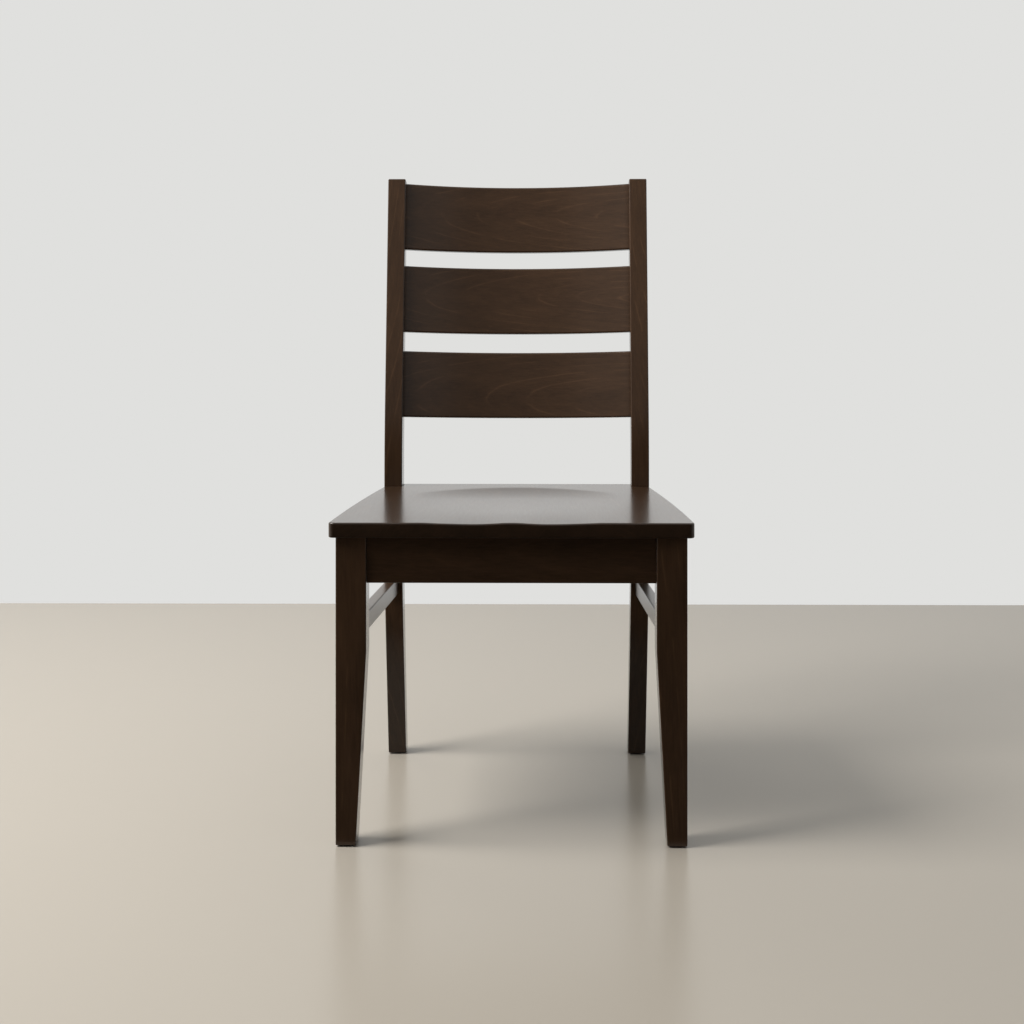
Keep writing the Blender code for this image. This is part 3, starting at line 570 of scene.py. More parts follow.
# %% Bars, and joining the chair
def bar(name, rings, radius, long_weight=None, end_weights=(0.0, 0.0)):
    """A bar through rings of four corners, in the order (-,-), (+,-), (+,+), (-,+)."""
    bm = bmesh.new()
    weights = bm.edges.layers.float.new("bevel_weight_edge")
    stacks = [[bm.verts.new(corner) for corner in ring] for ring in rings]
    for lower, upper in zip(stacks, stacks[1:]):
        for i in range(4):
            bm.faces.new((lower[i], lower[i - 3], upper[i - 3], upper[i]))
    bm.faces.new(stacks[0][::-1])
    bm.faces.new(stacks[-1])
    for lower, upper in zip(stacks, stacks[1:]):
        for i in range(4):
            edge = bm.edges.get((lower[i], upper[i]))
            edge[weights] = long_weight(i) if long_weight else 1.0
    for stack, weight in ((stacks[0], end_weights[0]), (stacks[-1], end_weights[1])):
        for i in range(4):
            bm.edges.get((stack[i], stack[i - 1]))[weights] = weight
    return rounded(name, bm, radius)


def level_ring(left, right, front, back, z):
    return [(left, front, z), (right, front, z), (right, back, z), (left, back, z)]


def upright_ring(left, right, bottom, top, y):
    return [(left, y, bottom), (right, y, bottom), (right, y, top), (left, y, top)]


def join_chair(piece, finish, slot, *nodes):
    """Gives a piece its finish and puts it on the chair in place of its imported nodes."""
    piece.data.materials.clear()
    piece.data.materials.append(finish)
    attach(piece, "root")
    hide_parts(*nodes)
    print(piece.name, len(piece.data.polygons), "faces")


def join_stained(name, piece, *board, **look):
    join_chair(piece, make_stained_wood(name, *board, **look), "stained_wood", name)


print("bars ready")

# %% [markdown]
# ## Front legs
# Each front leg is square below the seat and tapers on its inner side only, from about half its height down
# to the foot. Three rings say all of that: the foot, the start of the taper and the top.

# %% Front legs
LEG_FOOT_WIDTH = 0.0286
LEG_TAPER_HEIGHT = 0.276
LEG_ROUND = 0.002
# Painted shade: the front legs' stain is darkened to stand in for the weaker light below the seat.
LEG_PAINTED_SHADE = 0.79
SIDES = (("left", -1), ("right", 1))

for word, side in SIDES:
    name = f"front_leg_{word}"
    low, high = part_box(name)
    outer, inner = (low.x, high.x) if side < 0 else (high.x, low.x)
    rings = []
    for z, inside in ((low.z, outer - side * LEG_FOOT_WIDTH), (LEG_TAPER_HEIGHT, inner), (high.z, inner)):
        rings.append(level_ring(min(inside, outer), max(inside, outer), low.y, high.y, z))
    leg = bar(name, rings, LEG_ROUND, end_weights=(1.0, 0.0))
    join_stained(name, leg, "z", (0.03 * side, -0.05, side), shade=LEG_PAINTED_SHADE)

# %% [markdown]
# ## Rear posts
# A rear post is one long piece, sawn to a gentle double bend: its foot kicks back for balance, it is upright
# beside the seat, and above the seat it leans back. A bend sawn like this follows one rule at every height,
# so the rings are placed by a function, closer together where it bends.

# %% The line of the posts
SEAT_LOW, SEAT_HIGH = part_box("seat")
SEAT_TOP = SEAT_HIGH.z
POST_WIDTH = 0.030
POST_DEPTH, POST_TOP_DEPTH, POST_FOOT_DEPTH = 0.036, 0.028, 0.030
POST_HEIGHT = 0.9805
POST_LEAN, POST_SPLAY = math.radians(7.75), math.radians(6.7)
POST_BEND_HEIGHT, POST_SPLAY_HEIGHT = SEAT_TOP + 0.070, 0.258
BEND_LENGTH = 0.120
POST_DRAW_IN = 0.004
POST_ROUND = 0.002
POST_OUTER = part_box("rear_post_right")[1].x
POST_INNER = POST_OUTER - POST_WIDTH
POST_FRONT = SEAT_HIGH.y - POST_DEPTH
APRON_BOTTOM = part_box("front_apron")[0].z
LEAN_LENGTH = (POST_HEIGHT - POST_BEND_HEIGHT) / math.cos(POST_LEAN)


def bend(distance):
    """How far past its middle a bend has gone: 0 before it, the distance after it."""
    half = BEND_LENGTH / 2
    if distance <= -half:
        return 0.0
    if distance >= half:
        return distance
    return (distance + half) ** 2 / (2 * BEND_LENGTH)


def post_front(z):
    lean = math.tan(POST_LEAN) * bend(z - POST_BEND_HEIGHT)
    splay = math.tan(POST_SPLAY) * bend(POST_SPLAY_HEIGHT - z)
    return POST_FRONT + lean + splay


def below_apron(z):
    """0 at the aprons' lower edge and above it, 1 at the floor."""
    return max(0.0, (APRON_BOTTOM - z) / APRON_BOTTOM)


def post_depth(z):
    if z > SEAT_TOP:
        return POST_DEPTH + (POST_TOP_DEPTH - POST_DEPTH) * (z - SEAT_TOP) / (POST_HEIGHT - SEAT_TOP)
    return POST_DEPTH + (POST_FOOT_DEPTH - POST_DEPTH) * below_apron(z)


def on_the_lean(x, behind, along):
    y = POST_FRONT + along * math.sin(POST_LEAN) + behind * math.cos(POST_LEAN)
    z = POST_BEND_HEIGHT + along * math.cos(POST_LEAN) - behind * math.sin(POST_LEAN)
    return Vector((x, y, z))


print("post front at the floor, seat and top:", [round(post_front(z), 4) for z in (0, SEAT_TOP, POST_HEIGHT)])

# %% Rear posts
BEND_RINGS = 14
SLOPE_STEP = 0.001
# Painted light: the right post's stain is made lighter, standing in for the brighter sheen on it.
POST_LIGHT_PAINTED = {"left": 1.0, "right": 1.26}
# Painted shade and light on the posts: darker from the top down to the seat, lighter just under the seat, much
# darker near the foot.
POST_PAINTED_SHADE_AND_LIGHT_BANDS = [  # direction, start and end height of each fade, and the shade past it
    ((0, 0, 1), 0.78, 0.48, 0.8),
    ((0, 0, 1), 0.46, 0.42, 1.35),
    ((0, 0, 1), 0.30, 0.14, 0.42),
]


def spread(first, last, count):
    return [first + (last - first) * i / (count - 1) for i in range(count)]


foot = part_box("rear_post_left")[0].z
heights = [foot, APRON_BOTTOM]
for middle in (POST_SPLAY_HEIGHT, POST_BEND_HEIGHT):
    heights += spread(middle - BEND_LENGTH / 2, middle + BEND_LENGTH / 2, BEND_RINGS)
heights.sort()

for word, side in SIDES:
    name = f"rear_post_{word}"
    rings = []
    for z in heights:
        draw = POST_DRAW_IN * below_apron(z)
        left, right = sorted((side * (POST_INNER - draw), side * (POST_OUTER - draw)))
        slope = (post_front(z + SLOPE_STEP) - post_front(z - SLOPE_STEP)) / (2 * SLOPE_STEP)
        back = post_front(z) + post_depth(z) * math.hypot(1, slope)
        rings.append(level_ring(left, right, post_front(z), back, z))
    left, right = sorted((side * POST_INNER, side * POST_OUTER))
    corners = level_ring(left, right, 0, POST_TOP_DEPTH, LEAN_LENGTH)
    rings.append([on_the_lean(*corner) for corner in corners])
    post = bar(name, rings, POST_ROUND, end_weights=(1.0, 1.0))
    heart = (-0.04 * side, -0.05, 2 * side)
    join_stained(name, post, "z", heart, (0.01, 0.006), POST_LIGHT_PAINTED[word], bands=POST_PAINTED_SHADE_AND_LIGHT_BANDS)

# %% [markdown]
# ## Aprons
# Four aprons make the frame under the seat. Only their lower edges are eased, because the upper ones are
# hidden by the seat. The side aprons run from the leg to the post on a slant, as the chair narrows to the
# back. A box turned by hand would do for them, but its ends would not lie flat on the legs.

# %% Front and rear apron
APRON_ROUND = 0.0015
APRON_LINES = 0.12  # fewer pale lines show on them
# Painted shade: the aprons' stain is darkened, the front one most, standing in for the shade under the seat.
APRONS = (  # shade, and how far its middle lies off the heart of its log
    ("front_apron", 0.6, (0.01, -0.06, 0.2)),
    ("rear_apron", 0.8, (0.03, -0.05, -0.3)),
)


def lower_edges(i):
    return 1.0 if i in (0, 1) else 0.0


for name, shade, heart in APRONS:
    low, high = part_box(name)
    rings = []
    for x in (low.x, high.x):
        rings.append([(x, low.y, low.z), (x, high.y, low.z), (x, high.y, high.z), (x, low.y, high.z)])
    apron = bar(name, rings, APRON_ROUND, lower_edges)
    join_stained(name, apron, "x", heart, (-0.08, 0.0), shade, lines=APRON_LINES)

# %% Side aprons
SIDE_APRON_RECESS = 0.005
SIDE_APRON_SHADE = 0.9
APRON_THICKNESS = 0.020
LEG_LOW, LEG_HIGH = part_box("front_leg_right")
LEG_INNER, LEG_OUTER, LEG_BACK = LEG_LOW.x, LEG_HIGH.x, LEG_HIGH.y

for word, side in SIDES:
    name = f"side_apron_{word}"
    low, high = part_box(name)
    rings = []
    for y in (low.y, high.y):
        share = (y - LEG_BACK) / (POST_FRONT - LEG_BACK)
        outer = LEG_OUTER + (POST_OUTER - LEG_OUTER) * share - SIDE_APRON_RECESS
        left, right = sorted((side * outer, side * (outer - APRON_THICKNESS)))
        rings.append(upright_ring(left, right, low.z, high.z, y))
    apron = bar(name, rings, APRON_ROUND, lower_edges)
    join_stained(name, apron, "y", (0.06 * side, 0.01, 0.3 * side), (0.0, 0.06), SIDE_APRON_SHADE)

# %% [markdown]
# ## Side stretchers
# A slim stretcher joins each leg to its post, slightly lower at the back. Its rear end is cut to the slope
# of the post: each corner ends where the post's front is at that height.

# %% Side stretchers
STRETCHER_THICKNESS = 0.018
STRETCHER_HEIGHT = 0.026
STRETCHER_FRONT_TOP, STRETCHER_REAR_TOP = 0.320, 0.304
STRETCHER_FRONT_INSET, STRETCHER_REAR_INSET = 0.005, 0.0065
STRETCHER_ROUND = 0.002
STRETCHER_GLOSS = 0.27
GAP = 0.0003  # between pieces that touch

for word, side in SIDES:
    name = f"side_stretcher_{word}"
    rings = []
    for x, top in (
        (LEG_INNER + STRETCHER_FRONT_INSET, STRETCHER_FRONT_TOP),
        (POST_INNER + STRETCHER_REAR_INSET, STRETCHER_REAR_TOP),
    ):
        left, right = sorted((side * x, side * (x + STRETCHER_THICKNESS)))
        rings.append(upright_ring(left, right, top - STRETCHER_HEIGHT, top, LEG_BACK + GAP))
    rings[1] = [(x, post_front(z) - GAP, z) for x, y, z in rings[1]]
    stretcher = bar(name, rings, STRETCHER_ROUND)
    join_stained(name, stretcher, "y", (0.03, 0.04, 0.4 * side), gloss=STRETCHER_GLOSS)

# %% [markdown]
# ## Back slats
# Three slats span the posts. Each is the same board: bowed backward in an arc, as wide as the sitter's back
# needs, with rounded edges and its ends let into the posts. This is what Geometry Nodes are for. One tree
# draws the arc, sweeps a rounded section along it and leans it back with the posts, and each slat only sets
# how high it sits. Three boards shaped by hand would all differ slightly.

# %% The slat's tree
SLAT_THICKNESS = 0.014
SLAT_BOW = 0.034
SLAT_SETBACK = 0.008
SLAT_TENON = 0.015
SLAT_ROUND = 0.003
SLAT_STEPS = 96


def end_tree(tree, end, geometry, material):
    """The last steps of a geometry tree: real faces, with their material."""
    real = add(tree, "GeometryNodeRealizeInstances", {0: geometry}).outputs[0]
    painted = add(tree, "GeometryNodeSetMaterial", {"Geometry": real, "Material": material})
    feed(tree, end, {0: painted.outputs[0]})


def make_slat_tree():
    inputs = {
        "Half Span": POST_INNER, "Tenon": SLAT_TENON, "Bow": SLAT_BOW, "Thickness": SLAT_THICKNESS,
        "Low": 0.0, "High": 0.1, "Setback": SLAT_SETBACK, "Edge Radius": SLAT_ROUND, "Steps": SLAT_STEPS,
        "Lean": POST_LEAN, "Post Front": POST_FRONT, "Bend Height": POST_BEND_HEIGHT, "Material": "Material",
    }
    tree, given, end = new_group("bowed_slat", "GeometryNodeTree", inputs, {"Geometry": "Geometry"})

    # A straight line from tenon to tenon, cut into short steps.
    reach = calc(tree, "ADD", given["Half Span"], given["Tenon"])
    ends = [vector_of(tree, X=calc(tree, "MULTIPLY", reach, sign)) for sign in (-1.0, 1.0)]
    line = add(tree, "GeometryNodeCurvePrimitiveLine", {"Start": ends[0], "End": ends[1]})
    steps = add(tree, "GeometryNodeResampleCurve", {"Curve": line.outputs[0], "Count": given["Steps"]})

    # Between the posts it is an arc; inside them it runs straight.
    bow, half = given["Bow"], given["Half Span"]
    square = fit(tree, bow, bow, calc(tree, "MULTIPLY", half, half))
    radius = calc(tree, "DIVIDE", square, calc(tree, "MULTIPLY", bow, 2.0))
    x = parts_of(tree, add(tree, "GeometryNodeInputPosition").outputs[0])["X"]
    held = calc(tree, "MINIMUM", calc(tree, "ABSOLUTE", x), half)
    squares = [calc(tree, "MULTIPLY", length, length) for length in (radius, held)]
    arc = calc(tree, "SUBTRACT", calc(tree, "SQRT", calc(tree, "SUBTRACT", *squares)), radius)
    middle = fit(tree, given["Thickness"], 0.5, given["Setback"])
    behind = calc(tree, "ADD", calc(tree, "ADD", middle, bow), arc)
    height = calc(tree, "MULTIPLY", calc(tree, "ADD", given["Low"], given["High"]), 0.5)
    spot = vector_of(tree, X=x, Y=behind, Z=height)
    moved = add(tree, "GeometryNodeSetPosition", {"Geometry": steps.outputs[0], "Position": spot})
    upright = add(tree, "GeometryNodeSetCurveNormal", {"Curve": moved.outputs[0]}, mode="Z_UP")

    # The section is a rectangle with its corners rounded.
    breadth = calc(tree, "SUBTRACT", given["High"], given["Low"])
    sockets = {"Width": given["Thickness"], "Height": breadth}
    section = add(tree, "GeometryNodeCurvePrimitiveQuadrilateral", sockets, mode="RECTANGLE")
    sockets = {"Curve": section.outputs[0], "Count": EDGE_STEPS, "Radius": given["Edge Radius"]}
    corners = add(tree, "GeometryNodeFilletCurve", sockets, mode="POLY")
    sockets = {"Curve": upright.outputs[0], "Profile Curve": corners.outputs[0], "Fill Caps": True}
    swept = add(tree, "GeometryNodeCurveToMesh", sockets)

    # The whole board leans back with the posts.
    turn = vector_of(tree, X=calc(tree, "MULTIPLY", given["Lean"], -1.0))
    shift = vector_of(tree, Y=given["Post Front"], Z=given["Bend Height"])
    sockets = {"Geometry": swept.outputs[0], "Rotation": turn, "Translation": shift}
    leaned = add(tree, "GeometryNodeTransform", sockets)
    end_tree(tree, end, leaned.outputs[0], given["Material"])
    return tree


SLAT_TREE = make_slat_tree()
print("slat tree with", len(SLAT_TREE.nodes), "nodes")

# %% Slats from the tree
SLATS = (  # breadth, gap below it, and how far its middle lies off the heart of its log
    ("slat_top", 0.115, 0.0285, (0.0, -0.0610, 0.0)),
    ("slat_middle", 0.114, 0.0325, (0.002, -0.0492, 0.7)),
    ("slat_bottom", 0.112, 0.0, (-0.030, -0.0591, 1.4)),
)
SLAT_TOP_DROP = 0.0067
SLAT_TILT = (-0.14, 0.0)
SLAT_BEND = SLAT_BOW / (POST_INNER**2 + SLAT_BOW**2)


def from_tree(tree, values, mesh=None):
    """What a geometry tree makes of a mesh, with its named inputs set, as a plain mesh."""
    drawn = put("drawn", mesh or bpy.data.meshes.new("drawn"))
    modifier = drawn.modifiers.new("tree", "NODES")
    modifier.node_group = tree
    for item in tree.interface.items_tree:
        if item.in_out == "INPUT" and item.name in values:
            modifier[item.identifier] = values[item.name]
    return finished("from_tree", drawn)


high = LEAN_LENGTH - SLAT_TOP_DROP
for name, breadth, gap, heart in SLATS:
    finish = make_stained_wood(name, "x", heart, SLAT_TILT, bend=SLAT_BEND)
    values = {"Low": high - breadth, "High": high, "Material": finish}
    join_chair(levelled(name, from_tree(SLAT_TREE, values)), finish, "stained_wood", name)
    high -= breadth + gap

# %% [markdown]
# ## The seat
# The seat is a board of glued staves, carved to a shallow hollow with a ridge between the thighs. Everyone
# looks at the carving, so it is not left to a coarse cut: the rounded board is sliced into a fine grid and
# each point of its top is lowered by the depth of the hollow. A sculpt brush could do it too, but not to the
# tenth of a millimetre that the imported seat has.

# %% The seat's outline and hollow
SEAT_CORNER_RADIUS = 0.008
SEAT_SIDE_BOW = 0.0035
SEAT_TOP_ROUND, SEAT_BOTTOM_ROUND = 0.0025, 0.002
SCOOP_DEPTH, SCOOP_FRONT_DEPTH, SCOOP_FRONT_RUN = 0.0068, 0.0026, 0.060
SCOOP_WIDTH, SCOOP_SIDE_RADIUS = 0.330, 1.050
SCOOP_BACK_EDGE, SCOOP_BACK_RADIUS, SCOOP_DEEPEST = 0.374, 0.190, 0.292
POMMEL_HALF_WIDTH, POMMEL_LENGTH = 0.035, 0.160
SEAT_FRONT, SEAT_BACK = SEAT_LOW.y, SEAT_HIGH.y
SEAT_HALF_WIDTH = SEAT_HIGH.x
SEAT_THICKNESS = SEAT_TOP - SEAT_LOW.z
CORNER_STEPS, SIDE_STEPS = 9, 12


def seat_outline():
    radius, notch = SEAT_CORNER_RADIUS, POST_FRONT - GAP
    half = []
    for angle in spread(-math.pi / 2, 0, CORNER_STEPS):
        x = SEAT_HALF_WIDTH - radius + radius * math.cos(angle)
        half.append((x, SEAT_FRONT + radius + radius * math.sin(angle)))
    for y in spread(SEAT_FRONT + radius, notch, SIDE_STEPS)[1:]:
        share = (y - SEAT_FRONT - radius) / (POST_FRONT - SEAT_FRONT - radius)
        straight = SEAT_HALF_WIDTH + (POST_OUTER - SEAT_HALF_WIDTH) * share
        half.append((straight + SEAT_SIDE_BOW * 4 * share * (1 - share), y))
    half += [(POST_INNER - GAP, notch), (POST_INNER - GAP, SEAT_BACK)]
    return half + [(-x, y) for x, y in reversed(half)]


def hollow(x, y):
    """Depth of the carving at a point of the seat, 0 outside its rim."""
    along = (y - SEAT_FRONT) / (SCOOP_BACK_EDGE - x * x / (2 * SCOOP_BACK_RADIUS))
    half_width = SCOOP_WIDTH / 2 - (along * SCOOP_BACK_EDGE - SCOOP_DEEPEST) ** 2 / (2 * SCOOP_SIDE_RADIUS)
    across = abs(x) / half_width
    if across >= 1 or along >= 1:
        return 0.0
    deepest = SCOOP_DEEPEST / SCOOP_BACK_EDGE
    if along > deepest:
        lengthwise = 1 - ((along - deepest) / (1 - deepest)) ** 2
    else:
        run = SCOOP_FRONT_RUN / SCOOP_BACK_EDGE
        share = max(0.0, (along - run) / (deepest - run))
        front = SCOOP_FRONT_DEPTH / SCOOP_DEPTH
        lengthwise = front + (1 - front) * share * share * (3 - 2 * share)
    ridge = max(0.0, 1 - max(0.0, y - SEAT_FRONT) / POMMEL_LENGTH) * math.exp(-((x / POMMEL_HALF_WIDTH) ** 2))
    return SCOOP_DEPTH * lengthwise * (1 - across**2) * (1 - ridge)


print("hollow at its deepest:", round(1000 * hollow(0.0, SEAT_FRONT + SCOOP_DEEPEST), 2), "mm")

# %% The board, rounded
SEAT_MIDDLE = SEAT_TOP - SEAT_THICKNESS / 2


def make_board():
    """The seat before it is carved. Its edges stay crisp beside the posts."""
    bm = bmesh.new()
    bottom = bm.faces.new([bm.verts.new((x, y, SEAT_TOP - SEAT_THICKNESS)) for x, y in seat_outline()])
    raised = bmesh.ops.extrude_face_region(bm, geom=[bottom])["geom"]
    for vert in raised:
        if isinstance(vert, bmesh.types.BMVert):
            vert.co.z = SEAT_TOP
    weights = bm.edges.layers.float.new("bevel_weight_edge")
    for edge in bm.edges:
        middle = (edge.verts[0].co + edge.verts[1].co) / 2
        level = abs(edge.verts[0].co.z - edge.verts[1].co.z) < SEAT_THICKNESS / 2
        beside_post = middle.y > POST_FRONT - 2 * GAP and abs(middle.x) > POST_INNER - 2 * GAP
        if level and not beside_post:
            edge[weights] = 1.0 if middle.z > SEAT_MIDDLE else SEAT_BOTTOM_ROUND / SEAT_TOP_ROUND
    return rounded("board", bm, SEAT_TOP_ROUND)


board = make_board()
print("board with", len(board.data.polygons), "faces")

# %% Carve the seat
SLICE = 0.005  # width of the grid's cells
STAVE_WIDTH = 0.0733
END_GRAIN = 0.57  # how much darker the end grain takes the stain
END_INSIDE, END_EDGE = 0.003, 0.001  # where it starts and is full, in from the board's end


def slice_top(bm, along_x, places):
    """Cuts the top and its rounded edge along one direction, at each of the places."""
    normal = (0, 1, 0) if along_x else (1, 0, 0)
    for place in places:
        faces = [f for f in bm.faces if f.calc_center_median().z > SEAT_MIDDLE + SLICE / 4]
        geometry = set(faces)
        for face in faces:
            geometry.update(face.edges)
            geometry.update(face.verts)
        point = (0, place, 0) if along_x else (place, 0, 0)
        bmesh.ops.bisect_plane(bm, geom=list(geometry), dist=1e-6, plane_co=point, plane_no=normal)


def carve(board):
    bm = bmesh.new()
    bm.from_mesh(board.data)
    bpy.data.objects.remove(board)
    columns = int(SEAT_HALF_WIDTH / SLICE)
    slice_top(bm, False, [SLICE * i for i in range(-columns, columns + 1)])
    rows = int((SEAT_BACK - SEAT_FRONT) / SLICE)
    slice_top(bm, True, [SEAT_FRONT + SLICE * (i + 0.5) for i in range(rows)])
    for vert in bm.verts:
        share = (vert.co.z - SEAT_MIDDLE) / (SEAT_TOP - SEAT_MIDDLE)
        if share > 0:
            vert.co.z -= share * hollow(vert.co.x, vert.co.y)
    return levelled("seat", drawn_from(bm))


ends = [
    ((0, 1, 0), SEAT_FRONT + END_INSIDE, SEAT_FRONT + END_EDGE, END_GRAIN),
    ((0, 1, 0), SEAT_BACK - END_INSIDE, SEAT_BACK - END_EDGE, END_GRAIN),
]
join_stained(
    "seat", carve(board), "y", (0.0, -0.06, 0.0), (0.06, 0.0), shade=0.7, gloss=0.17, bands=ends,
    stave=STAVE_WIDTH, haze=0.1, coat=1.0,
)

# %% [markdown]
# ## Corner blocks
# A block of bare beech is glued and screwed into each corner under the seat. Its shape comes from the packed
# solid itself, with the bores for its three screws. A copy of that mesh is closed up, its flats are joined
# and its edges are eased. Redrawn from its outline, it would need its bores cut again.

# %% Corner blocks
BLOCK_EASE, BLOCK_EDGE_STEPS = 0.0008, 2
FLAT_WITHIN, EASED_BEYOND = math.radians(1), math.radians(40)

for end in ("front", "rear"):
    for word, side in SIDES:
        name = f"corner_block_{end}_{word}"
        drawn = put("drawn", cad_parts[name].data.copy())
        modify(drawn, "WELD", merge_threshold=0.00001)
        modify(drawn, "DECIMATE", decimate_type="DISSOLVE", angle_limit=FLAT_WITHIN)
        modify(
            drawn, "BEVEL", limit_method="ANGLE", angle_limit=EASED_BEYOND, width=BLOCK_EASE,
            segments=BLOCK_EDGE_STEPS,
        )
        block = levelled(name, finished("eased", drawn))
        finish = make_plain_wood(f"plain_wood_{end}_{word}", name, "x", (0.03 * side, -0.02, side))
        join_chair(block, finish, "plain_wood", name)

# %% [markdown]
# ## Copies on points
# What repeats is drawn once, as rings turned about a line, and set on points by one geometry tree. Each point
# carries the way its copy faces. Copies could be linked objects, but the tree makes one real mesh of them,
# which is what an exported model needs.


# %% The tree that sets copies on points
def boxes(start):
    """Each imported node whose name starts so, with the corners of its box."""
    return [(node, *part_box(node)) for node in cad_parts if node.startswith(start)]


def make_copies_tree():
    inputs = {"Geometry": "Geometry", "Pattern": "Object", "Material": "Material"}
    tree, given, end = new_group("copies_on_points", "GeometryNodeTree", inputs, {"Geometry": "Geometry"})
    facing = add(tree, "GeometryNodeInputNamedAttribute", {"Name": "facing"}, data_type="FLOAT_VECTOR")
    sockets = {"Vector": facing.outputs["Attribute"]}
    aim = add(tree, "FunctionNodeAlignRotationToVector", sockets, axis="Z")
    pattern = add(tree, "GeometryNodeObjectInfo", {"Object": given["Pattern"]}).outputs["Geometry"]
    sockets = {"Points": given["Geometry"], "Instance": pattern, "Rotation": aim.outputs[0]}
    copies = add(tree, "GeometryNodeInstanceOnPoints", sockets)
    end_tree(tree, end, copies.outputs[0], given["Material"])
    return tree


COPIES_TREE = make_copies_tree()


def turned(rings, columns, reshape=None):
    """Rings of (radius, height) turned about Z. reshape(radius, height, angle) may move each point."""
    bm = bmesh.new()
    stacks = []
    for radius, height in rings:
        stack = []
        for column in range(columns):
            angle = 2 * math.pi * column / columns
            r, z = reshape(radius, height, angle) if reshape else (radius, height)
            stack.append(bm.verts.new((r * math.cos(angle), r * math.sin(angle), z)))
        stacks.append(stack)
    for first, second in zip(stacks, stacks[1:]):
        for i in range(columns):
            bm.faces.new((first[i], first[i - 1], second[i - 1], second[i]))
    bm.faces.new(stacks[0])
    bm.faces.new(stacks[-1][::-1])
    return drawn_from(bm)


def set_copies(name, pattern, spots, finish, slot):
    """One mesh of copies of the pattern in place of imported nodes. spots is {node: (place, facing)}."""
    points = bpy.data.meshes.new("points")
    points.from_pydata([tuple(place) for place, facing in spots.values()], [], [])
    attribute = points.attributes.new("facing", "FLOAT_VECTOR", "POINT")
    for item, (place, facing) in zip(attribute.data, spots.values()):
        item.vector = facing
    copies = from_tree(COPIES_TREE, {"Pattern": pattern, "Material": finish}, points)
    bpy.data.objects.remove(pattern)
    join_chair(levelled(name, copies), finish, slot, *spots)


print("copies tree with", len(COPIES_TREE.nodes), "nodes")

# %% [markdown]
# ## Screws
# Three screws hold each block, with a rolled thread and a cross recess in a domed head. How far round and how
# far down a point is says where it lies between two turns of the thread. A Screw modifier would wind a
# thread too, but it would not run out so cleanly.

# %% Screws
SCREW_LENGTH, SCREW_DIAMETER = 0.027, 0.004
SCREW_HEAD_DIAMETER, SCREW_HEAD_HEIGHT, SCREW_HEAD_RIM = 0.008, 0.0028, 0.0008
SCREW_CORE = 0.0013  # radius between the turns of the thread
THREAD_START, THREAD_PITCH, SCREW_TIP = 0.009, 0.0018, 0.005
RECESS_WIDTH, RECESS_LENGTH, RECESS_DEPTH = 0.0011, 0.0042, 0.0013
POINT_RADIUS, SMALL_RADIUS = 0.00015, 0.0002  # of the screw's point, and where a turned form closes
DOME_STEPS, THREAD_STEPS, SCREW_COLUMNS = 14, 60, 24


def screw_point(radius, height, angle):
    x, y = abs(radius * math.cos(angle)), abs(radius * math.sin(angle))
    if height > SCREW_HEAD_RIM and min(x, y) < RECESS_WIDTH / 2 and max(x, y) < RECESS_LENGTH / 2:
        return radius, height - RECESS_DEPTH
    if height < -THREAD_START:
        turn = (-height / THREAD_PITCH + angle / (2 * math.pi)) % 1
        crest = max(0.0, 1 - abs(2 * turn - 1) * 1.6)
        runout = min(1.0, (-height - THREAD_START) / THREAD_PITCH)
        taper = min(1.0, (SCREW_LENGTH + height) / SCREW_TIP)
        shank = SCREW_DIAMETER / 2 + (SCREW_CORE - SCREW_DIAMETER / 2) * runout
        return max(POINT_RADIUS, (shank + (SCREW_DIAMETER / 2 - shank) * crest) * taper), height
    return radius, height


head = SCREW_HEAD_DIAMETER / 2
rings = [(SMALL_RADIUS, SCREW_HEAD_HEIGHT)]
for angle in spread(math.radians(86), 0, DOME_STEPS):
    height = SCREW_HEAD_RIM + (SCREW_HEAD_HEIGHT - SCREW_HEAD_RIM) * math.sin(angle)
    rings.append((head * math.cos(angle), height))
rings += [(head, 0), (SCREW_DIAMETER / 2, 0), (SCREW_DIAMETER / 2, -THREAD_START)]
rings += [(SCREW_CORE, z) for z in spread(-THREAD_START, -SCREW_LENGTH, THREAD_STEPS)[1:]]

reach = (SCREW_LENGTH + SCREW_HEAD_HEIGHT) / 2 - SCREW_HEAD_HEIGHT
spots = {}
for node, low, high in boxes("screw_"):
    inward = 1 if "_front_" in node else -1
    side = -1 if "_left_" in node else 1
    ways = {"cross": (0, inward, 0), "side": (-side, 0, 0), "seat": (0, 0, -1)}
    facing = Vector(ways[node.rsplit("_", 1)[1]])
    spots[node] = ((low + high) / 2 + facing * reach, facing)
set_copies("screws", turned(rings, SCREW_COLUMNS, screw_point), spots, ZINC, "zinc_steel")

# %% [markdown]
# ## Dowels
# Two dowels with glue flutes and chamfered ends sit in each joint, along its apron. The side aprons slant,
# and so do their dowels: what a dowel's box measures beyond its own width is the way it runs.

# %% Dowels
DOWEL_RADIUS, DOWEL_HALF_LENGTH, DOWEL_CHAMFER = 0.004, 0.018, 0.001
FLUTES, FLUTE_DEPTH = 16, 0.00025


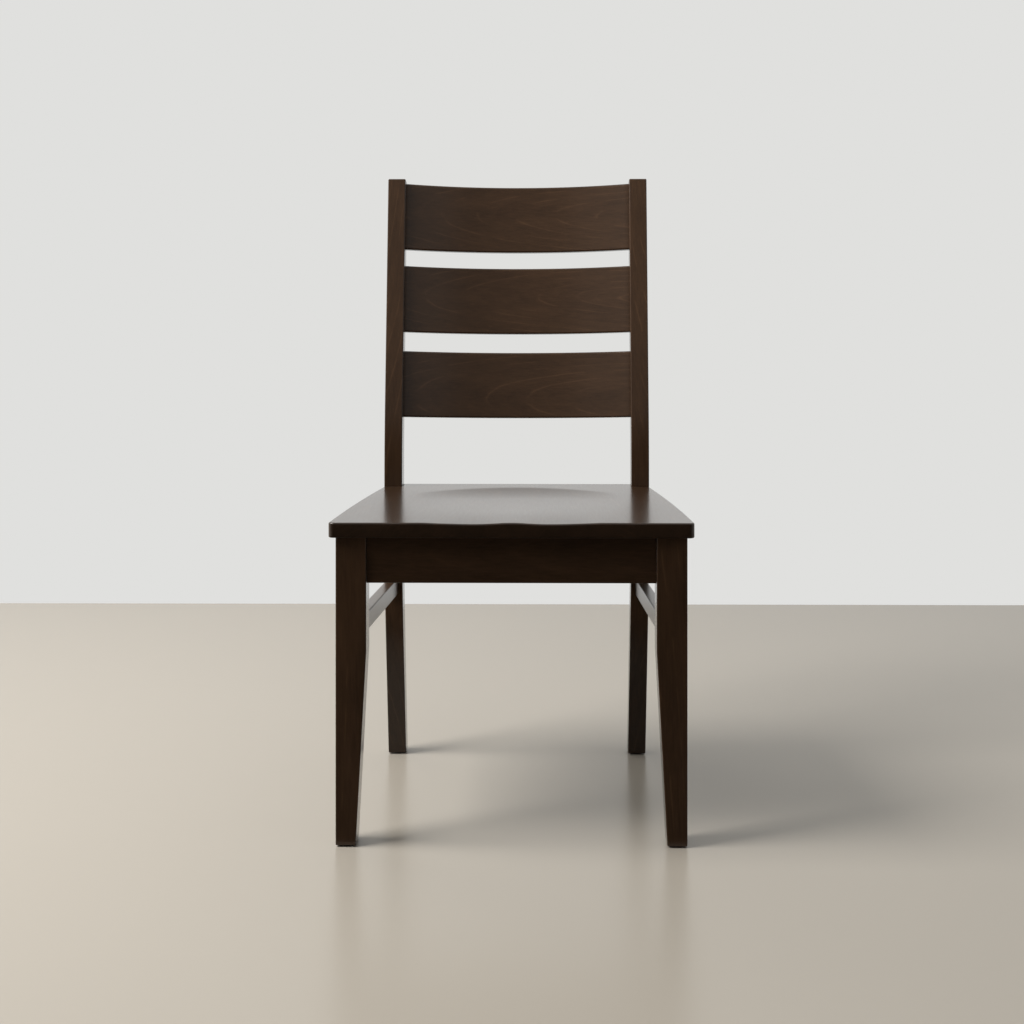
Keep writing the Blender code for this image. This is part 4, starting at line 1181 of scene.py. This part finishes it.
def dowel_point(radius, height, angle):
    return radius - FLUTE_DEPTH * (0.5 - 0.5 * math.cos(FLUTES * angle)), height


r, z, c = DOWEL_RADIUS, DOWEL_HALF_LENGTH, DOWEL_CHAMFER
rings = [(r - c, z), (r, z - c), (r, 0), (r, c - z), (r - c, -z)]
for word, direction in (("cross", "x"), ("side", "y")):
    spots = {}
    for node, low, high in boxes("dowel_"):
        if ("_side_" in node) == (word == "side"):
            slant = high - low - Vector((2 * r, 2 * r, 2 * r))
            facing = Vector((max(0.0, slant.x), max(0.0, slant.y), 0))
            if "_side_right" in node:
                facing.x = -facing.x
            spots[node] = ((low + high) / 2, facing.normalized())
    finish = make_plain_wood(f"plain_wood_dowels_{word}", next(iter(spots)), direction, (0.03, 0.02, 0.0))
    set_copies(f"dowels_{word}", turned(rings, 4 * FLUTES, dowel_point), spots, finish, "plain_wood")

# %% [markdown]
# ## Foot glides
# A nylon disc with a pin is under each foot, its edge rounded so that it slides. Its few rings are simply
# written down.

# %% Foot glides
GLIDE_RADIUS, GLIDE_EDGE, GLIDE_CHAMFER = 0.010, 0.0006, 0.0003
PIN_RADIUS, PIN_LENGTH = 0.0015, 0.012
GLIDE_COLUMNS = 48

low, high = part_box("foot_glide_front_left")
glide_top = high.z - PIN_LENGTH
rings = [(SMALL_RADIUS, high.z), (PIN_RADIUS, high.z - PIN_RADIUS), (PIN_RADIUS, glide_top)]
rings += [(GLIDE_RADIUS - GLIDE_CHAMFER, glide_top), (GLIDE_RADIUS, glide_top - GLIDE_CHAMFER)]
for angle in spread(0, math.pi / 2, 5):
    rings.append((GLIDE_RADIUS - GLIDE_EDGE * (1 - math.cos(angle)), GLIDE_EDGE * (1 - math.sin(angle))))
rings.append((SMALL_RADIUS, 0.0))

spots = {}
for node, low, high in boxes("foot_glide"):
    spots[node] = (Vector(((low.x + high.x) / 2, (low.y + high.y) / 2, 0)), Vector((0, 0, 1)))
set_copies("foot_glides", turned(rings, GLIDE_COLUMNS), spots, NYLON, "nylon")
